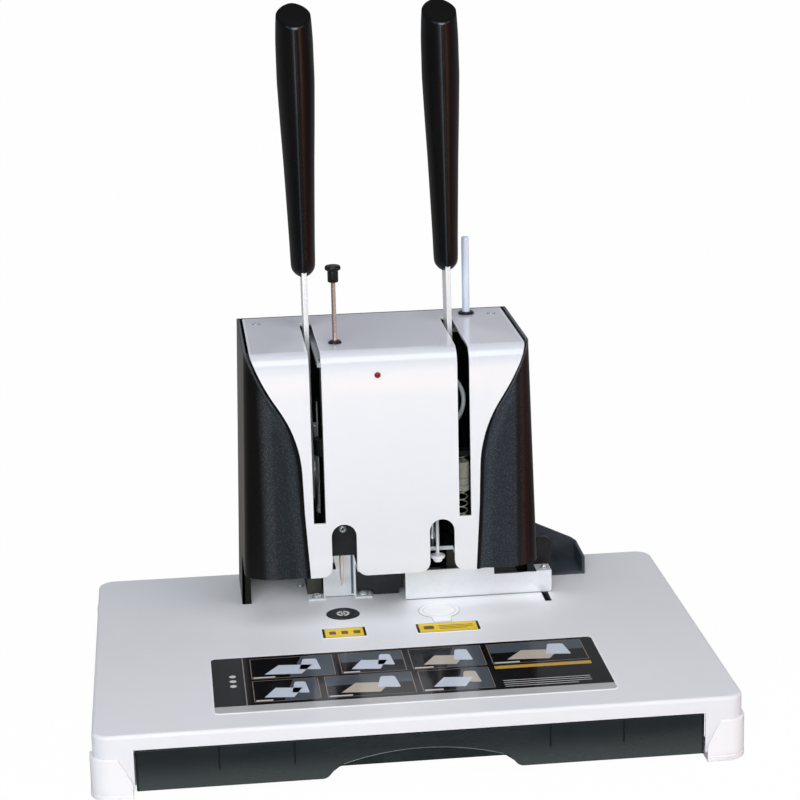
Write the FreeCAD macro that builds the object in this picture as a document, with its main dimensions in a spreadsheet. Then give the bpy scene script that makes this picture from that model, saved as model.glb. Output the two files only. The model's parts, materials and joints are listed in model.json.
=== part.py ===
"""Desktop paper drill and tube riveter: a low base with a chip drawer, and a tower with two hand levers.

The left lever lowers a motor-driven hollow drill, the right lever lowers a heated riveting head.
Each lever turns a pinion, the pinion drives a rack, and the rack carries its carriage down two columns.
Millimetres. X runs to the right, Y to the back and Z up; the origin is under the middle of the base.
"""
import FreeCAD, Part

import math
import os

import Sketcher

SIZES = {
    "base_width": 403,                # base cover, side to side
    "base_depth": 280,                # base cover, front to back
    "deck_height": 42,                # working surface above the desk
    "base_wall": 1.6,                 # sheet of the base cover
    "base_corner": 11,                # corner radius of the base, seen from above
    "base_fold": 2.5,                 # rounding of the fold round the deck
    "skirt_bottom": 6,                # lower edge of the base cover
    "foot_side": 25.8,                # corner foot, along each side
    "foot_height": 27,                # corner foot at the corner
    "foot_low": 11,                   # corner foot at its inner edge
    "foot_crest": 17.2,               # level length of the top of a foot
    "foot_proud": 2,                  # how far a foot stands out past the skirt
    "floor_sheet": 1.5,               # sheet of the base floor
    "floor_front": 60,                # front edge of the base floor, ahead of the middle
    "floor_side": 29.5,               # base floor, in from the side of the base
    "opening_side": 25,               # drawer opening, in from the side of the base
    "opening_top": 32,                # top of the drawer opening
    "drawer_gap": 0.8,                # play round the drawer front
    "drawer_inset": 0.4,              # drawer front behind the base front
    "drawer_length": 205,             # drawer, front to back
    "drawer_wall": 2,                 # walls of the drawer
    "drawer_front_low": 4.9,          # lower edge of the drawer front
    "drawer_floor_low": 8,            # underside of the drawer floor
    "grip_half": 48,                  # half width of the raised part of the finger cut-out
    "grip_run": 11.5,                 # sideways run of each end of the cut-out
    "grip_top": 11.7,                 # top of the finger cut-out
    "scoop_meet": 28.5,               # where the sides of the finger scoop would meet
    "scoop_round": 164,               # radius of the top of the scoop
    "scoop_foot": 11.1,               # ends of the scoop
    "scoop_depth": 1,                 # depth of the finger scoop
    "rib_width": 1,                   # ribs inside the drawer front
    "rib_inner": 79,                  # inner ribs from the middle
    "rib_outer": 125,                 # outer ribs from the middle
    "runner_sheet": 1.4,              # sheet of a drawer runner
    "runner_lip": 9,                  # lip of a runner under the drawer
    "runner_play": 0.2,               # play between a runner and the drawer
    "drill_side": 33,                 # drill axis, left of the middle
    "drill_depth": 45,                # drill axis, behind the middle
    "rivet_side": 33,                 # rivet axis, right of the middle
    "rivet_depth": 41,                # rivet axis, behind the middle
    "pad_radius": 11.5,               # cutting pad
    "pad_proud": 0.2,                 # cutting pad above the deck
    "pad_thickness": 4.8,             # cutting pad
    "cup_wall": 1.5,                  # cup under the cutting pad
    "chip_hole": 4,                   # radius of the hole through the cup
    "seat_gap": 0.1,                  # play of pieces seated in a hole
    "disc_radius": 14,                # rivet disc
    "disc_proud": 0.6,                # rivet disc above the deck
    "disc_thickness": 1.2,            # rivet disc
    "tongue_half": 6,                 # half width of the tongue of the rivet disc
    "tongue_reach": 23,               # tongue, from the rivet axis forward
    "anvil_radius": 17,               # rivet anvil
    "anvil_thickness": 5,             # rivet anvil under the deck
    "label_half": 126.4,              # half width of the instruction label
    "label_depth": 90.4,              # instruction label, front to back
    "label_back": 25.6,               # back edge of the label, ahead of the middle
    "label_corner": 4,                # corner radius of the label
    "label_thickness": 0.3,           # labels
    "sticker_left_start": -50,        # left station label
    "sticker_left_end": -20.7,        # left station label
    "sticker_left_front": 0.5,        # left station label
    "sticker_right_start": 13.7,      # right station label
    "sticker_right_end": 56.3,        # right station label
    "sticker_right_front": -0.5,      # right station label
    "sticker_depth": 16.5,            # station labels, front to back
    "guide_slot_x": 111,              # slot in the deck for a side guide
    "guide_slot_half": 2.4,           # half width of that slot
    "guide_slot_front": 46.5,         # front end of that slot
    "guide_slot_back": 69,            # back end of that slot
    "panel_front": 14,                # front face of the white panel
    "panel_sheet": 2,                 # sheet of the white panel
    "panel_bottom": 80,               # lower edge of the white panel
    "panel_bend": 12,                 # outer radius of the bend at the top
    "housing_top": 234,               # top of the housing
    "housing_back": 128,              # back edge of the top
    "panel_half": 91.2,               # half width of the top
    "panel_foot_half": 56,            # half width of the panel at its lower edge
    "panel_waist_half": 58.6,         # half width of the panel at its waist
    "panel_waist_z": 125,             # height of the waist
    "panel_neck_half": 60.1,          # half width where the sides begin to spread
    "panel_neck_z": 176.7,            # height of that point
    "panel_shoulder_half": 83.6,      # half width near the top
    "panel_shoulder_z": 214,          # height of that point
    "panel_sweep_low": 88,            # radius of a swept side where it leaves the neck
    "panel_sweep_high": 150,          # radius of a swept side near the top
    "arch_half": 8.35,                # half width of the two arches in the panel
    "arch_top": 116.7,                # top of the arches
    "arch_round": 8.3,                # radius at the top of an arch
    "arch_flare": 7,                  # radius where an arch meets the lower edge
    "slot_inner": 44.9,               # inner edge of a lever slot, from the middle
    "slot_outer": 52.9,               # outer edge of a lever slot, from the middle
    "slot_bottom": 118,               # lower end of a lever slot
    "slot_back": 107,                 # back end of a lever slot in the top
    "lamp_x": -7.9,                   # status lamp
    "lamp_z": 218.5,                  # status lamp
    "lamp_radius": 2,                 # status lamp
    "lamp_proud": 1.2,                # status lamp ahead of the panel
    "cover_gap": 0.3,                 # play between the panel and the side covers
    "cover_sheet": 2,                 # walls of the side covers
    "cover_top_half": 95,             # outside of the side covers at the top
    "cover_foot_half": 101,           # outside of the side covers at the deck
    "cover_corner": 14,               # front corner radius of the side covers
    "cover_bottom": 79.5,             # lower edge of the side covers over the throat
    "cover_lap": 2.5,                 # side cover under the edge of the panel
    "throat_back": 75,                # front edge of the side covers' lower part
    "rear_sheet": 2,                  # sheet of the rear cover
    "vent_half": 28,                  # half width of the vents in the rear cover
    "vent_high": 3,                   # height of a vent
    "vent_pitch": 9,                  # spacing of the vents
    "vent_first": 150,                # lowest vent
    "vent_count": 6,                  # vents
    "inlet_x": -76,                   # power inlet, from the middle
    "inlet_z": 84,                    # power inlet, middle height
    "inlet_half": 13.5,               # half width of the inlet body
    "inlet_half_high": 23.5,          # half height of the inlet body
    "inlet_rim": 2,                   # rim of the inlet round its body
    "inlet_rim_thick": 2.4,           # thickness of that rim
    "inlet_deep": 22,                 # inlet body behind the rear cover
    "socket_half": 12,                # half width of the socket
    "socket_high": 17,                # height of the socket
    "socket_deep": 15,                # depth of the socket
    "socket_low": 20,                 # socket below the middle of the inlet
    "pin_half": 1,                    # half thickness of a socket pin
    "pin_pitch": 7,                   # spacing of the pins
    "pin_tall": 4,                    # height of a pin
    "rocker_half": 9,                 # half width of the switch rocker
    "rocker_half_high": 6.5,          # half height of the switch rocker
    "rocker_up": 12,                  # rocker above the middle of the inlet
    "rocker_proud": 2.5,              # rocker behind the rim at its end
    "rocker_gap": 1.0,                # play round the rocker
    "rocker_deep": 6,                 # pivot of the rocker, in from the rim
    "rocker_tilt": 10,                # angle of each half of the rocker
    "frame_inner": 57,                # inner face of a frame plate
    "frame_sheet": 3,                 # frame plates
    "frame_front": 22,                # front edge of the frame plates
    "frame_back": 126,                # back edge of the frame plates
    "frame_rise": 100,                # front corner of the frame plates
    "throat_wall": 84,                # front edge of the frame plates at the deck
    "frame_leg_outer": 54.5,          # outer face of a frame plate's lower part
    "frame_leg_lip": 10,              # inward lip along the front of the lower part
    "frame_leg_lip_sheet": 2,         # that lip
    "frame_foot": 12,                 # foot of a frame plate on the deck, side to side
    "frame_foot_long": 30,            # foot of a frame plate on the deck, front to back
    "shelf_low": 80,                  # underside of the lower plate
    "shelf_sheet": 3,                 # lower plate
    "bridge_low": 222,                # underside of the top plate
    "bridge_sheet": 3,                # top plate
    "bridge_half": 46.4,              # half width of the top plate between the levers
    "bridge_wing": 109,               # front edge of the top plate's wings
    "column_radius": 4,               # guide columns
    "column_neck": 2.5,               # upper ends of the guide columns
    "seat_play": 0.02,                # play of columns, bearings and the axle in their seats
    "drill_column_x": -42.7,          # outer drill column
    "drill_column_y": 36.3,           # outer drill column
    "inner_column_x": 14,             # inner columns, from the middle
    "rivet_column_y": 69,             # rear rivet column
    "slide_fit": 0.05,                # play of a carriage on its columns
    "lug_wall": 3,                    # wall of a carriage round a column
    "pivot_y": 84,                    # lever axle
    "pivot_z": 136,                   # lever axle
    "axle_radius": 5,                 # lever axle
    "turn_fit": 0.05,                 # play of a lever on the axle
    "lever_lean": 5.4,                # degrees that the levers lean back at rest
    "lever_middle": 49.2,             # middle of a lever bar, from the middle
    "bar_thick": 3.4,                 # lever bar, side to side
    "bar_half": 10,                   # half depth of a lever bar
    "bar_tail": 21,                   # lever bar below its pivot
    "bar_length": 205,                # lever bar above its pivot
    "gear_module": 2,                 # gear module of pinions and racks
    "drill_teeth": 30,                # teeth of the drill pinion
    "rivet_teeth": 21,                # teeth of the rivet pinion
    "tooth_share": 0.42,              # tooth thickness over the pitch
    "addendum": 1.6,                  # tooth above the pitch line
    "dedendum": 2.2,                  # gap below the pitch line
    "flank_run": 0.36,                # sideways run of a flank for each unit of depth
    "gear_inner": 41.2,               # inner face of a pinion, from the middle
    "gear_width": 5.4,                # width of a pinion
    "hub_radius": 9,                  # hub of a pinion
    "rack_inner": 40.6,               # inner face of a rack, from the middle
    "rack_width": 6,                  # width of a rack
    "rack_thick": 7.4,                # rack from its back to the pitch line
    "rack_tail": 3.6,                 # rack below the lever axle
    "drill_rack_teeth": 9,            # teeth of the drill rack
    "rivet_rack_teeth": 7,            # teeth of the rivet rack
    "handle_start": 133.6,            # lower end of a grip, from the pivot
    "handle_length": 185,             # length of a grip
    "handle_cover_gap": 0.15,         # play of a bar in its grip
    "handle_round": 0.82,             # corner radius of a grip's section over its half width
    "handle_root_x": 6.6,             # half width of a grip at its lower end
    "handle_root_y": 11.6,            # half depth of a grip at its lower end
    "handle_neck_x": 8.4,             # half width of a grip just above its lower end
    "handle_neck_y": 13,              # half depth of a grip just above its lower end
    "handle_waist_x": 10.1,           # half width of a grip a third of the way up
    "handle_waist_y": 13.6,           # half depth of a grip a third of the way up
    "handle_belly_x": 12.8,           # half width of a grip two thirds of the way up
    "handle_belly_y": 15,             # half depth of a grip two thirds of the way up
    "handle_crown_x": 12.7,           # half width of a grip below its slanted top
    "handle_crown_y": 14.6,           # half depth of a grip below its slanted top
    "handle_end_x": 10.6,             # half width of a grip at its upper end
    "handle_end_y": 13,               # half depth of a grip at its upper end
    "slant_high": 16,                 # front of a grip's slanted top below its upper end
    "slant_level": 14,                # front part of that top that lies level, from the middle
    "slant_back": 11,                 # back edge of that top, from the middle
    "slant_drop": 2,                  # back edge of that top below the upper end
    "head_low": 160,                  # underside of the drill carriage
    "head_high": 200,                 # top of the drill carriage
    "head_front": 33,                 # front of the drill carriage
    "head_back": 57,                  # back of the drill carriage
    "head_outer": 40.6,               # outer side of the drill carriage
    "head_inner": 21,                 # inner side of the drill carriage
    "lug_top": 171,                   # top of the lugs of the drill carriage
    "arm_thick": 4,                   # motor arm
    "motor_x": -20,                   # motor axis
    "motor_y": 109,                   # motor axis
    "motor_radius": 17,               # motor
    "motor_length": 55,               # motor
    "motor_boss": 6.5,                # boss of the motor
    "shaft_radius": 1.6,              # motor shaft
    "bearing_radius": 7,              # spindle bearings
    "bearing_width": 6,               # spindle bearings
    "bearing_inset": 2,               # bearings from the ends of the carriage
    "spindle_radius": 4,              # spindle
    "spindle_top": 216,               # top of the spindle
    "bore_radius": 1.9,               # bore of the spindle and the drill
    "chuck_radius": 7,                # chuck of the spindle
    "chuck_low": 147,                 # lower end of the chuck
    "chuck_gap": 0.6,                 # chuck below the carriage
    "drill_radius": 3,                # hollow drill
    "drill_tip": 94,                  # tip of the drill
    "drill_seat": 5,                  # drill inside the chuck
    "pulley_low": 203,                # spindle and motor pulleys
    "pulley_high": 10,                # width of the pulleys
    "pulley_core": 6.5,               # radius under the belt
    "pulley_flange": 8.4,             # radius of the flanges
    "flange_thick": 1.5,              # flanges of the pulleys
    "belt_gap": 0.15,                 # belt off the pulley
    "belt_thick": 1.5,                # belt
    "rod_radius": 1.5,                # clearing rod
    "rod_tip": 61.8,                  # point of the clearing rod
    "rod_point": 8,                   # length of the point
    "knob_low": 275.5,                # knob of the clearing rod
    "knob_radius": 3.9,               # knob body
    "knob_body": 6.5,                 # height of the knob body
    "knob_flange": 5.2,               # radius of the knob top
    "knob_flange_high": 5,            # height of the knob top
    "bush_flange": 4.6,               # flange radius of the rod bush
    "bush_neck": 3,                   # neck radius of the bushes over their rods
    "bush_high": 1.8,                 # bushes above the top
    "bush_low": 6,                    # bushes below the top
    "bush_play": 0.25,                # play of a rod in its bush
    "guard_front": 25.6,              # front of the drill guard
    "guard_sheet": 3,                 # drill guard
    "guard_low": 91,                  # lower edge of the drill guard
    "guard_half": 9.4,                # half width of the drill guard
    "guard_floor_half": 5,            # half width of the guard's floor, inner side
    "guard_floor": 2.5,               # floor of the guard
    "guard_hole": 4,                  # hole of the guard for the drill
    "guard_foot": 60,                 # back of the guard's foot
    "press_low": 156,                 # underside of the rivet carriage
    "press_high": 190,                # top of the rivet carriage
    "press_front": 30,                # front of the rivet carriage
    "press_back": 62.8,               # back of the rivet carriage
    "press_inner": 20,                # inner side of the rivet carriage
    "barrel_radius": 7,               # heater barrel of the rivet head
    "barrel_low": 128,                # lower end of the barrel
    "needle_radius": 1.2,             # rivet needle
    "funnel_low": 78,                 # lower face of the rivet funnel
    "funnel_radius": 4.5,             # rim of the rivet funnel
    "funnel_high": 5.5,               # height of the rivet funnel
    "sleeve_x": 50.3,                 # spring sleeve
    "sleeve_y": 38,                   # spring sleeve
    "sleeve_radius": 4.8,             # spring sleeve
    "sleeve_bore": 3.9,               # spring sleeve
    "sleeve_low": 134,                # lower end of the sleeve
    "sleeve_high": 20,                # length of the sleeve
    "sleeve_arm": 3.6,                # thickness of the arm over the sleeve
    "spring_radius": 3.2,             # rivet spring, to the middle of its wire
    "spring_wire": 0.45,              # radius of the rivet spring's wire
    "spring_turns": 10,               # turns of the rivet spring
    "drill_spring_radius": 5.6,       # drill spring, to the middle of its wire
    "drill_spring_wire": 0.6,         # radius of the drill spring's wire
    "drill_spring_turns": 9,          # turns of the drill spring
    "spring_gap": 0.2,                # play at the ends of a spring
    "lead_radius": 2.3,               # heater lead
    "lead_loop": 14.6,                # loop of the lead, to its middle
    "lead_x": 29.5,                   # middle of the loop
    "lead_y": 25,                     # plane of the loop
    "lead_z": 192,                    # height of the loop
    "lead_foot": 168,                 # lead where it meets its terminal
    "terminal_half": 8,               # half width of the lead's terminal
    "terminal_high": 10,              # height of the terminal
    "tube_x": 64.8,                   # nylon tube
    "tube_y": 113.4,                  # nylon tube
    "tube_radius": 2.6,               # nylon tube
    "tube_bore": 1.9,                 # nylon tube
    "tube_top": 288.5,                # top of the nylon tube
    "tube_lift": 0.4,                 # tube above the deck
    "zinc_sheet": 1.5,                # zinc plates
    "left_stop_start": -43.5,         # left back stop
    "left_stop_end": -20.9,           # left back stop
    "left_stop_front": 80,            # left back stop
    "stop_return": 4,                 # side return of the left back stop
    "tab_ahead": 7.3,                 # front edge of the left back stop's tabs, ahead of its face
    "foot_tab": 11,                   # tabs of the back stops on the deck
    "right_stop_start": 12.8,         # right back stop
    "right_stop_step": 75.5,          # right back stop, start of the low part
    "right_stop_tab": 105.7,          # right back stop, start of the tab
    "right_stop_end": 116.2,          # right back stop
    "right_stop_front": 65,           # right back stop
    "right_stop_high": 20.8,          # right back stop above the deck
    "right_stop_low": 15.2,           # low part of the right back stop above the deck
    "right_stop_flange": 14,          # flange of the right back stop
    "wall_start": -20.6,              # black wall between the stations
    "wall_end": 12.4,                 # black wall between the stations
    "wall_front": 79,                 # black wall between the stations
    "wall_sheet": 2,                  # black wall
    "wall_foot_start": -8.6,          # black wall, start of the part that stands on the deck
    "wall_foot_end": 9.4,             # black wall, end of the part that stands on the deck
    "wall_notch": 4,                  # height of the notches beside that part
    "stop_post_start": 106.8,         # side stop post
    "stop_post_end": 118.5,           # side stop post
    "stop_post_front": 80,            # side stop post
    "stop_post_thick": 3,             # side stop post
    "stop_post_high": 35.4,           # side stop post above the deck
    "tray_start": 101.9,              # offcut tray
    "tray_end": 146,                  # offcut tray
    "tray_front": 97,                 # offcut tray
    "tray_back": 130,                 # offcut tray
    "tray_sheet": 2,                  # offcut tray
    "tray_high": 36,                  # tray wall beside the tower, above the deck
    "tray_low": 14,                   # tray wall at its far end, above the deck
    "screw_radius": 3.2,              # pan screws
    "screw_high": 2,                  # heads of the pan screws
    "cover_screw_radius": 2.6,        # screws of the covers
    "cover_screw_high": 0.9,          # heads of the cover screws
    "tab_screw_ahead": 2,             # screws of the back stops, ahead of the stop's face
    "tab_screw_out": 5,               # screws of the left back stop, from its sides
    "guard_screw_up": 19,             # screw of the guard above its lower edge
    "frame_screw_out": 4,             # screw beside the left frame plate, out from it
    "frame_screw_back": 26,           # screw beside the left frame plate, behind the axle
    "top_screw_in": 9,                # screws in the top, in from its side
    "top_screw_ahead": 17,            # screws in the top, ahead of its back edge
    "rear_screw_in": 6,               # screws of the rear cover, in from its side
    "rear_screw_end": 12,             # end screws of the rear cover, from its ends
}

doc = FreeCAD.newDocument("paper_drill")
sheet = doc.addObject("Spreadsheet::Sheet", "sizes")


class Size:
    """A length with its present number and the expression that ties it to the sheet."""

    def __init__(self, number, text):
        self.number = number
        self.text = text

    def __add__(self, other):
        other = size(other)
        return Size(self.number + other.number, f"({self.text} + {other.text})")

    def __sub__(self, other):
        other = size(other)
        return Size(self.number - other.number, f"({self.text} - {other.text})")

    def __mul__(self, other):
        other = size(other)
        return Size(self.number * other.number, f"({self.text} * {other.text})")

    def __truediv__(self, other):
        other = size(other)
        return Size(self.number / other.number, f"({self.text} / {other.text})")

    def __neg__(self):
        return Size(-self.number, f"(0 - {self.text})")

    def __radd__(self, other):
        return size(other) + self

    def __rsub__(self, other):
        return size(other) - self

    def __rmul__(self, other):
        return size(other) * self


def size(value):
    """Give a plain number as a Size, and a Size as it is."""
    if isinstance(value, Size):
        return value
    return Size(float(value), repr(float(value)))


class Sheet:
    """The driving dimensions, one attribute for each entry of SIZES."""

    def __init__(self, table):
        for row, (name, number) in enumerate(table.items(), 1):
            sheet.set(f"A{row}", name)
            sheet.set(f"B{row}", str(number))
            sheet.setAlias(f"B{row}", name)
            setattr(self, name, Size(float(number), f"sizes.{name}"))


s = Sheet(SIZES)
doc.recompute()

Z = FreeCAD.Vector(0, 0, 1)
nodes = []


# ---------------------------------------------------------------- sketches and features

def node(thing, label):
    """Name a finished sub-part, which is written to a file of that name."""
    thing.Label = label
    nodes.append(thing)
    return thing


def new_body(x=0, y=0, z=0, axis=None, angle=0):
    """Make an empty body at a place, turned about an axis through it where one is given."""
    body = doc.addObject("PartDesign::Body", "body")
    if axis:
        body.Placement.Rotation = FreeCAD.Rotation(FreeCAD.Vector(*axis), angle)
    for letter, value in zip("xyz", (x, y, z)):
        body.setExpression(f"Placement.Base.{letter}", size(value).text)
    return body


def origin_part(body, role):
    """Find one of a body's own origin planes or axes."""
    return next(part for part in body.Origin.OriginFeatures if part.Role == role)


def rect(x0, y0, x1, y1, radius=None):
    """Corners of a rectangle, all rounded where a radius is given."""
    corners = [(x0, y0), (x1, y0), (x1, y1), (x0, y1)]
    if radius is None:
        return corners
    return [corner + (radius,) for corner in corners]


def circle(x, y, radius):
    """A circle, as its middle and radius."""
    return {"middle": (x, y), "radius": radius}


def fix_point(sketch, index, end, x, y):
    """Tie a point of a sketch to its two coordinates."""
    for kind, value in (("DistanceX", size(x)), ("DistanceY", size(y))):
        number = sketch.addConstraint(Sketcher.Constraint(kind, -1, 1, index, end, value.number))
        sketch.setExpression(f"Constraints[{number}]", value.text)


def fix_radius(sketch, index, radius):
    """Tie the radius of an arc or a circle."""
    radius = size(radius)
    number = sketch.addConstraint(Sketcher.Constraint("Radius", index, radius.number))
    sketch.setExpression(f"Constraints[{number}]", radius.text)


def draw_circle(sketch, shape):
    """Add a circle that is tied to its middle and radius."""
    x, y = (size(value) for value in shape["middle"])
    middle = FreeCAD.Vector(x.number, y.number, 0)
    index = sketch.addGeometry(Part.Circle(middle, Z, size(shape["radius"]).number))
    fix_point(sketch, index, 3, x, y)
    fix_radius(sketch, index, shape["radius"])


def corner_arc(before, corner, after, radius):
    """Work out where a rounded corner leaves its two sides, and the middle of its arc."""
    back = (before - corner).normalize()
    ahead = (after - corner).normalize()
    half = back.getAngle(ahead) / 2
    reach = radius / math.tan(half)
    middle = corner + (back + ahead).normalize() * (radius / math.sin(half))
    return corner + back * reach, corner + ahead * reach, middle


def draw_loop(sketch, corners):
    """Add a closed loop of straight sides; a corner with a third value is rounded to that radius."""
    spots = [FreeCAD.Vector(size(c[0]).number, size(c[1]).number, 0) for c in corners]
    count = len(corners)
    arcs = {}
    for i, corner in enumerate(corners):
        if len(corner) == 3:
            arcs[i] = corner_arc(spots[i - 1], spots[i], spots[(i + 1) % count], size(corner[2]).number)
    sides = []
    for i in range(count):
        j = (i + 1) % count
        start = arcs[i][1] if i in arcs else spots[i]
        end = arcs[j][0] if j in arcs else spots[j]
        sides.append(sketch.addGeometry(Part.LineSegment(start, end)))
    for i, corner in enumerate(corners):
        if i not in arcs:
            sketch.addConstraint(Sketcher.Constraint("Coincident", sides[i - 1], 2, sides[i], 1))
            fix_point(sketch, sides[i], 1, corner[0], corner[1])
            continue
        enter, leave, middle = arcs[i]
        left_turn = (enter - middle).cross(leave - middle).z > 0
        first, last = (enter, leave) if left_turn else (leave, enter)
        angles = [math.atan2(p.y - middle.y, p.x - middle.x) for p in (first, last)]
        round_part = Part.Circle(middle, Z, size(corner[2]).number)
        arc = sketch.addGeometry(Part.ArcOfCircle(round_part, angles[0], angles[1]))
        ends = (1, 2) if left_turn else (2, 1)
        sketch.addConstraint(Sketcher.Constraint("Tangent", sides[i - 1], 2, arc, ends[0]))
        sketch.addConstraint(Sketcher.Constraint("Tangent", arc, ends[1], sides[i], 1))
        fix_radius(sketch, arc, corner[2])
        point = sketch.addGeometry(Part.Point(spots[i]), True)
        sketch.addConstraint(Sketcher.Constraint("PointOnObject", point, 1, sides[i - 1]))
        sketch.addConstraint(Sketcher.Constraint("PointOnObject", point, 1, sides[i]))
        fix_point(sketch, point, 1, corner[0], corner[1])


def draw(body, plane, start, shapes):
    """Sketch loops and circles on an origin plane, moved to where the feature starts."""
    sketch = body.newObject("Sketcher::SketchObject", "sketch")
    sketch.AttachmentSupport = [(origin_part(body, plane + "_Plane"), "")]
    sketch.MapMode = "FlatFace"
    offset = -size(start) if plane == "XZ" else size(start)
    sketch.setExpression("AttachmentOffset.Base.z", offset.text)
    for shape in shapes:
        if isinstance(shape, dict):
            draw_circle(sketch, shape)
        else:
            draw_loop(sketch, shape)
    return sketch


def pad(body, plane, start, length, *shapes):
    """Add material from a plane's start, towards +X, +Y or +Z."""
    feature = body.newObject("PartDesign::Pad", "pad")
    feature.Profile = draw(body, plane, start, shapes)
    feature.setExpression("Length", size(length).text)
    feature.Reversed = plane == "XZ"
    return feature


def pocket(body, plane, start, length, *shapes):
    """Take material from a plane's start, towards +X, +Y or +Z."""
    feature = body.newObject("PartDesign::Pocket", "pocket")
    feature.Profile = draw(body, plane, start, shapes)
    feature.setExpression("Length", size(length).text)
    feature.Reversed = plane != "XZ"
    return feature


def revolve(body, *profiles):
    """Turn profiles of (radius, height) once round the body's Z axis."""
    feature = body.newObject("PartDesign::Revolution", "turn")
    feature.Profile = draw(body, "XZ", 0, profiles)
    feature.ReferenceAxis = (feature.Profile[0], ["V_Axis"])
    feature.Angle = 360
    return feature


def round_edges(body, radius, wanted):
    """Fillet the edges of a body that the test picks."""
    doc.recompute()
    base = body.Tip
    picked = [f"Edge{i}" for i, edge in enumerate(base.Shape.Edges, 1) if wanted(edge)]
    feature = body.newObject("PartDesign::Fillet", "fillet")
    feature.Base = (base, picked)
    feature.setExpression("Radius", size(radius).text)
    return feature


def turned(label, x, y, *profiles, z=0):
    """A turned piece on an upright axis."""
    body = new_body(x, y, z)
    revolve(body, *profiles)
    return node(body, label)


def rod_profile(radius, low, high, bore=0):
    """Profile of a plain rod or tube."""
    return rect(bore, low, radius, high)


def group(label, *pieces):
    """Several separate solids as one sub-part."""
    compound = doc.addObject("Part::Compound", "group")
    compound.Links = list(pieces)
    return node(compound, label)


# ---------------------------------------------------------------- shared places

deck_low = s.deck_height - s.base_wall
drill_x = -s.drill_side
rivet_x = s.rivet_side
lap_front = s.panel_front + s.panel_sheet + s.cover_gap
shelf_top = s.shelf_low + s.shelf_sheet
tooth_pitch = s.gear_module * math.pi
drill_gear = s.gear_module * s.drill_teeth / 2
rivet_gear = s.gear_module * s.rivet_teeth / 2
rear_face = s.housing_back + s.cover_gap + s.rear_sheet
opening_half = s.base_width / 2 - s.opening_side
drawer_half = opening_half - s.drawer_gap
drawer_front = s.drawer_inset - s.base_depth / 2
drawer_top = s.opening_top - s.drawer_gap
cup_floor = s.deck_height + s.pad_proud - s.pad_thickness


# ---------------------------------------------------------------- base

def base_cover():
    """Folded sheet box, open below and at the drawer, with seats for the pad and the rivet disc."""
    body = new_body()
    half, deep = s.base_width / 2, s.base_depth / 2
    pad(body, "XY", s.skirt_bottom, s.deck_height - s.skirt_bottom,
        rect(-half, -deep, half, deep, s.base_corner))
    round_edges(body, s.base_fold, lambda e: e.BoundBox.ZMin > s.deck_height.number - 0.01)
    doc.recompute()
    solid = body.Tip
    under = [f"Face{i}" for i, f in enumerate(solid.Shape.Faces, 1)
             if f.BoundBox.ZMax < s.skirt_bottom.number + 0.01]
    shell = body.newObject("PartDesign::Thickness", "shell")
    shell.Base = (solid, under)
    shell.setExpression("Value", s.base_wall.text)
    shell.Reversed = True
    cup_low = cup_floor - s.cup_wall
    cup = s.pad_radius + s.seat_gap + s.cup_wall
    pad(body, "XY", cup_low, s.deck_height - s.base_wall / 2 - cup_low,
        circle(drill_x, s.drill_depth, cup))
    pocket(body, "XY", cup_floor, s.pad_thickness, circle(drill_x, s.drill_depth, s.pad_radius + s.seat_gap))
    pocket(body, "XY", cup_low - 1, s.cup_wall + 2, circle(drill_x, s.drill_depth, s.chip_hole))
    disc = s.disc_radius + s.seat_gap
    pocket(body, "XY", deck_low - 1, s.base_wall + 2, circle(rivet_x, s.rivet_depth, disc))
    pocket(body, "XY", deck_low - 1, s.base_wall + 2,
           rect(rivet_x - s.tongue_half - s.seat_gap, s.rivet_depth - s.tongue_reach - s.seat_gap,
                rivet_x + s.tongue_half + s.seat_gap, s.rivet_depth))
    pocket(body, "XY", deck_low - 1, s.base_wall + 2,
           rect(s.guide_slot_x - s.guide_slot_half, s.guide_slot_front,
                s.guide_slot_x + s.guide_slot_half, s.guide_slot_back))
    pocket(body, "XZ", -deep - 1, s.base_wall + 2,
           rect(-opening_half, s.skirt_bottom - 1, opening_half, s.opening_top))
    node(body, "base_cover")


def base_floor():
    """Flat plate that closes the base behind the finger space."""
    body = new_body()
    half = s.base_width / 2 - s.floor_side
    pad(body, "XY", s.skirt_bottom - s.floor_sheet, s.floor_sheet,
        rect(-half, -s.floor_front, half, s.base_depth / 2 - s.base_wall / 4, 3))
    node(body, "base_floor")


def corner_foot(side, end):
    """Moulded cap under one corner: a sole, and a thin wall with sloping inner edges."""
    body = new_body()
    x0, y0 = side * (s.base_width / 2 + s.foot_proud), end * (s.base_depth / 2 + s.foot_proud)
    x1, y1 = x0 - side * s.foot_side, y0 - end * s.foot_side
    pad(body, "XY", 0, s.foot_height,
        [(x0, y0, s.base_corner + s.foot_proud), (x1, y0), (x1, y1), (x0, y1)])
    x2, y2 = side * s.base_width / 2, end * s.base_depth / 2
    pocket(body, "XY", s.skirt_bottom, s.foot_height,
           [(x2, y2, s.base_corner), (x1 - side, y2), (x1 - side, y1 - end), (x2, y1 - end)])
    crest_x, crest_y = x0 - side * s.foot_crest, y0 - end * s.foot_crest
    high = s.foot_height + 1
    low_y, low_x = size(-s.base_depth / 2 - 5), size(-s.base_width / 2 - 5)
    pocket(body, "XZ", low_y, s.base_depth + 10,
           [(crest_x, s.foot_height), (x1, s.foot_low), (x1 - side, s.foot_low), (x1 - side, high),
            (crest_x, high)])
    pocket(body, "YZ", low_x, s.base_width + 10,
           [(crest_y, s.foot_height), (y1, s.foot_low), (y1 - end, s.foot_low), (y1 - end, high),
            (crest_y, high)])
    return body


def corner_feet():
    """Four feet, one under each corner."""
    feet = [corner_foot(side, end) for side in (-1, 1) for end in (-1, 1)]
    group("corner_feet", *feet)


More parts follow.
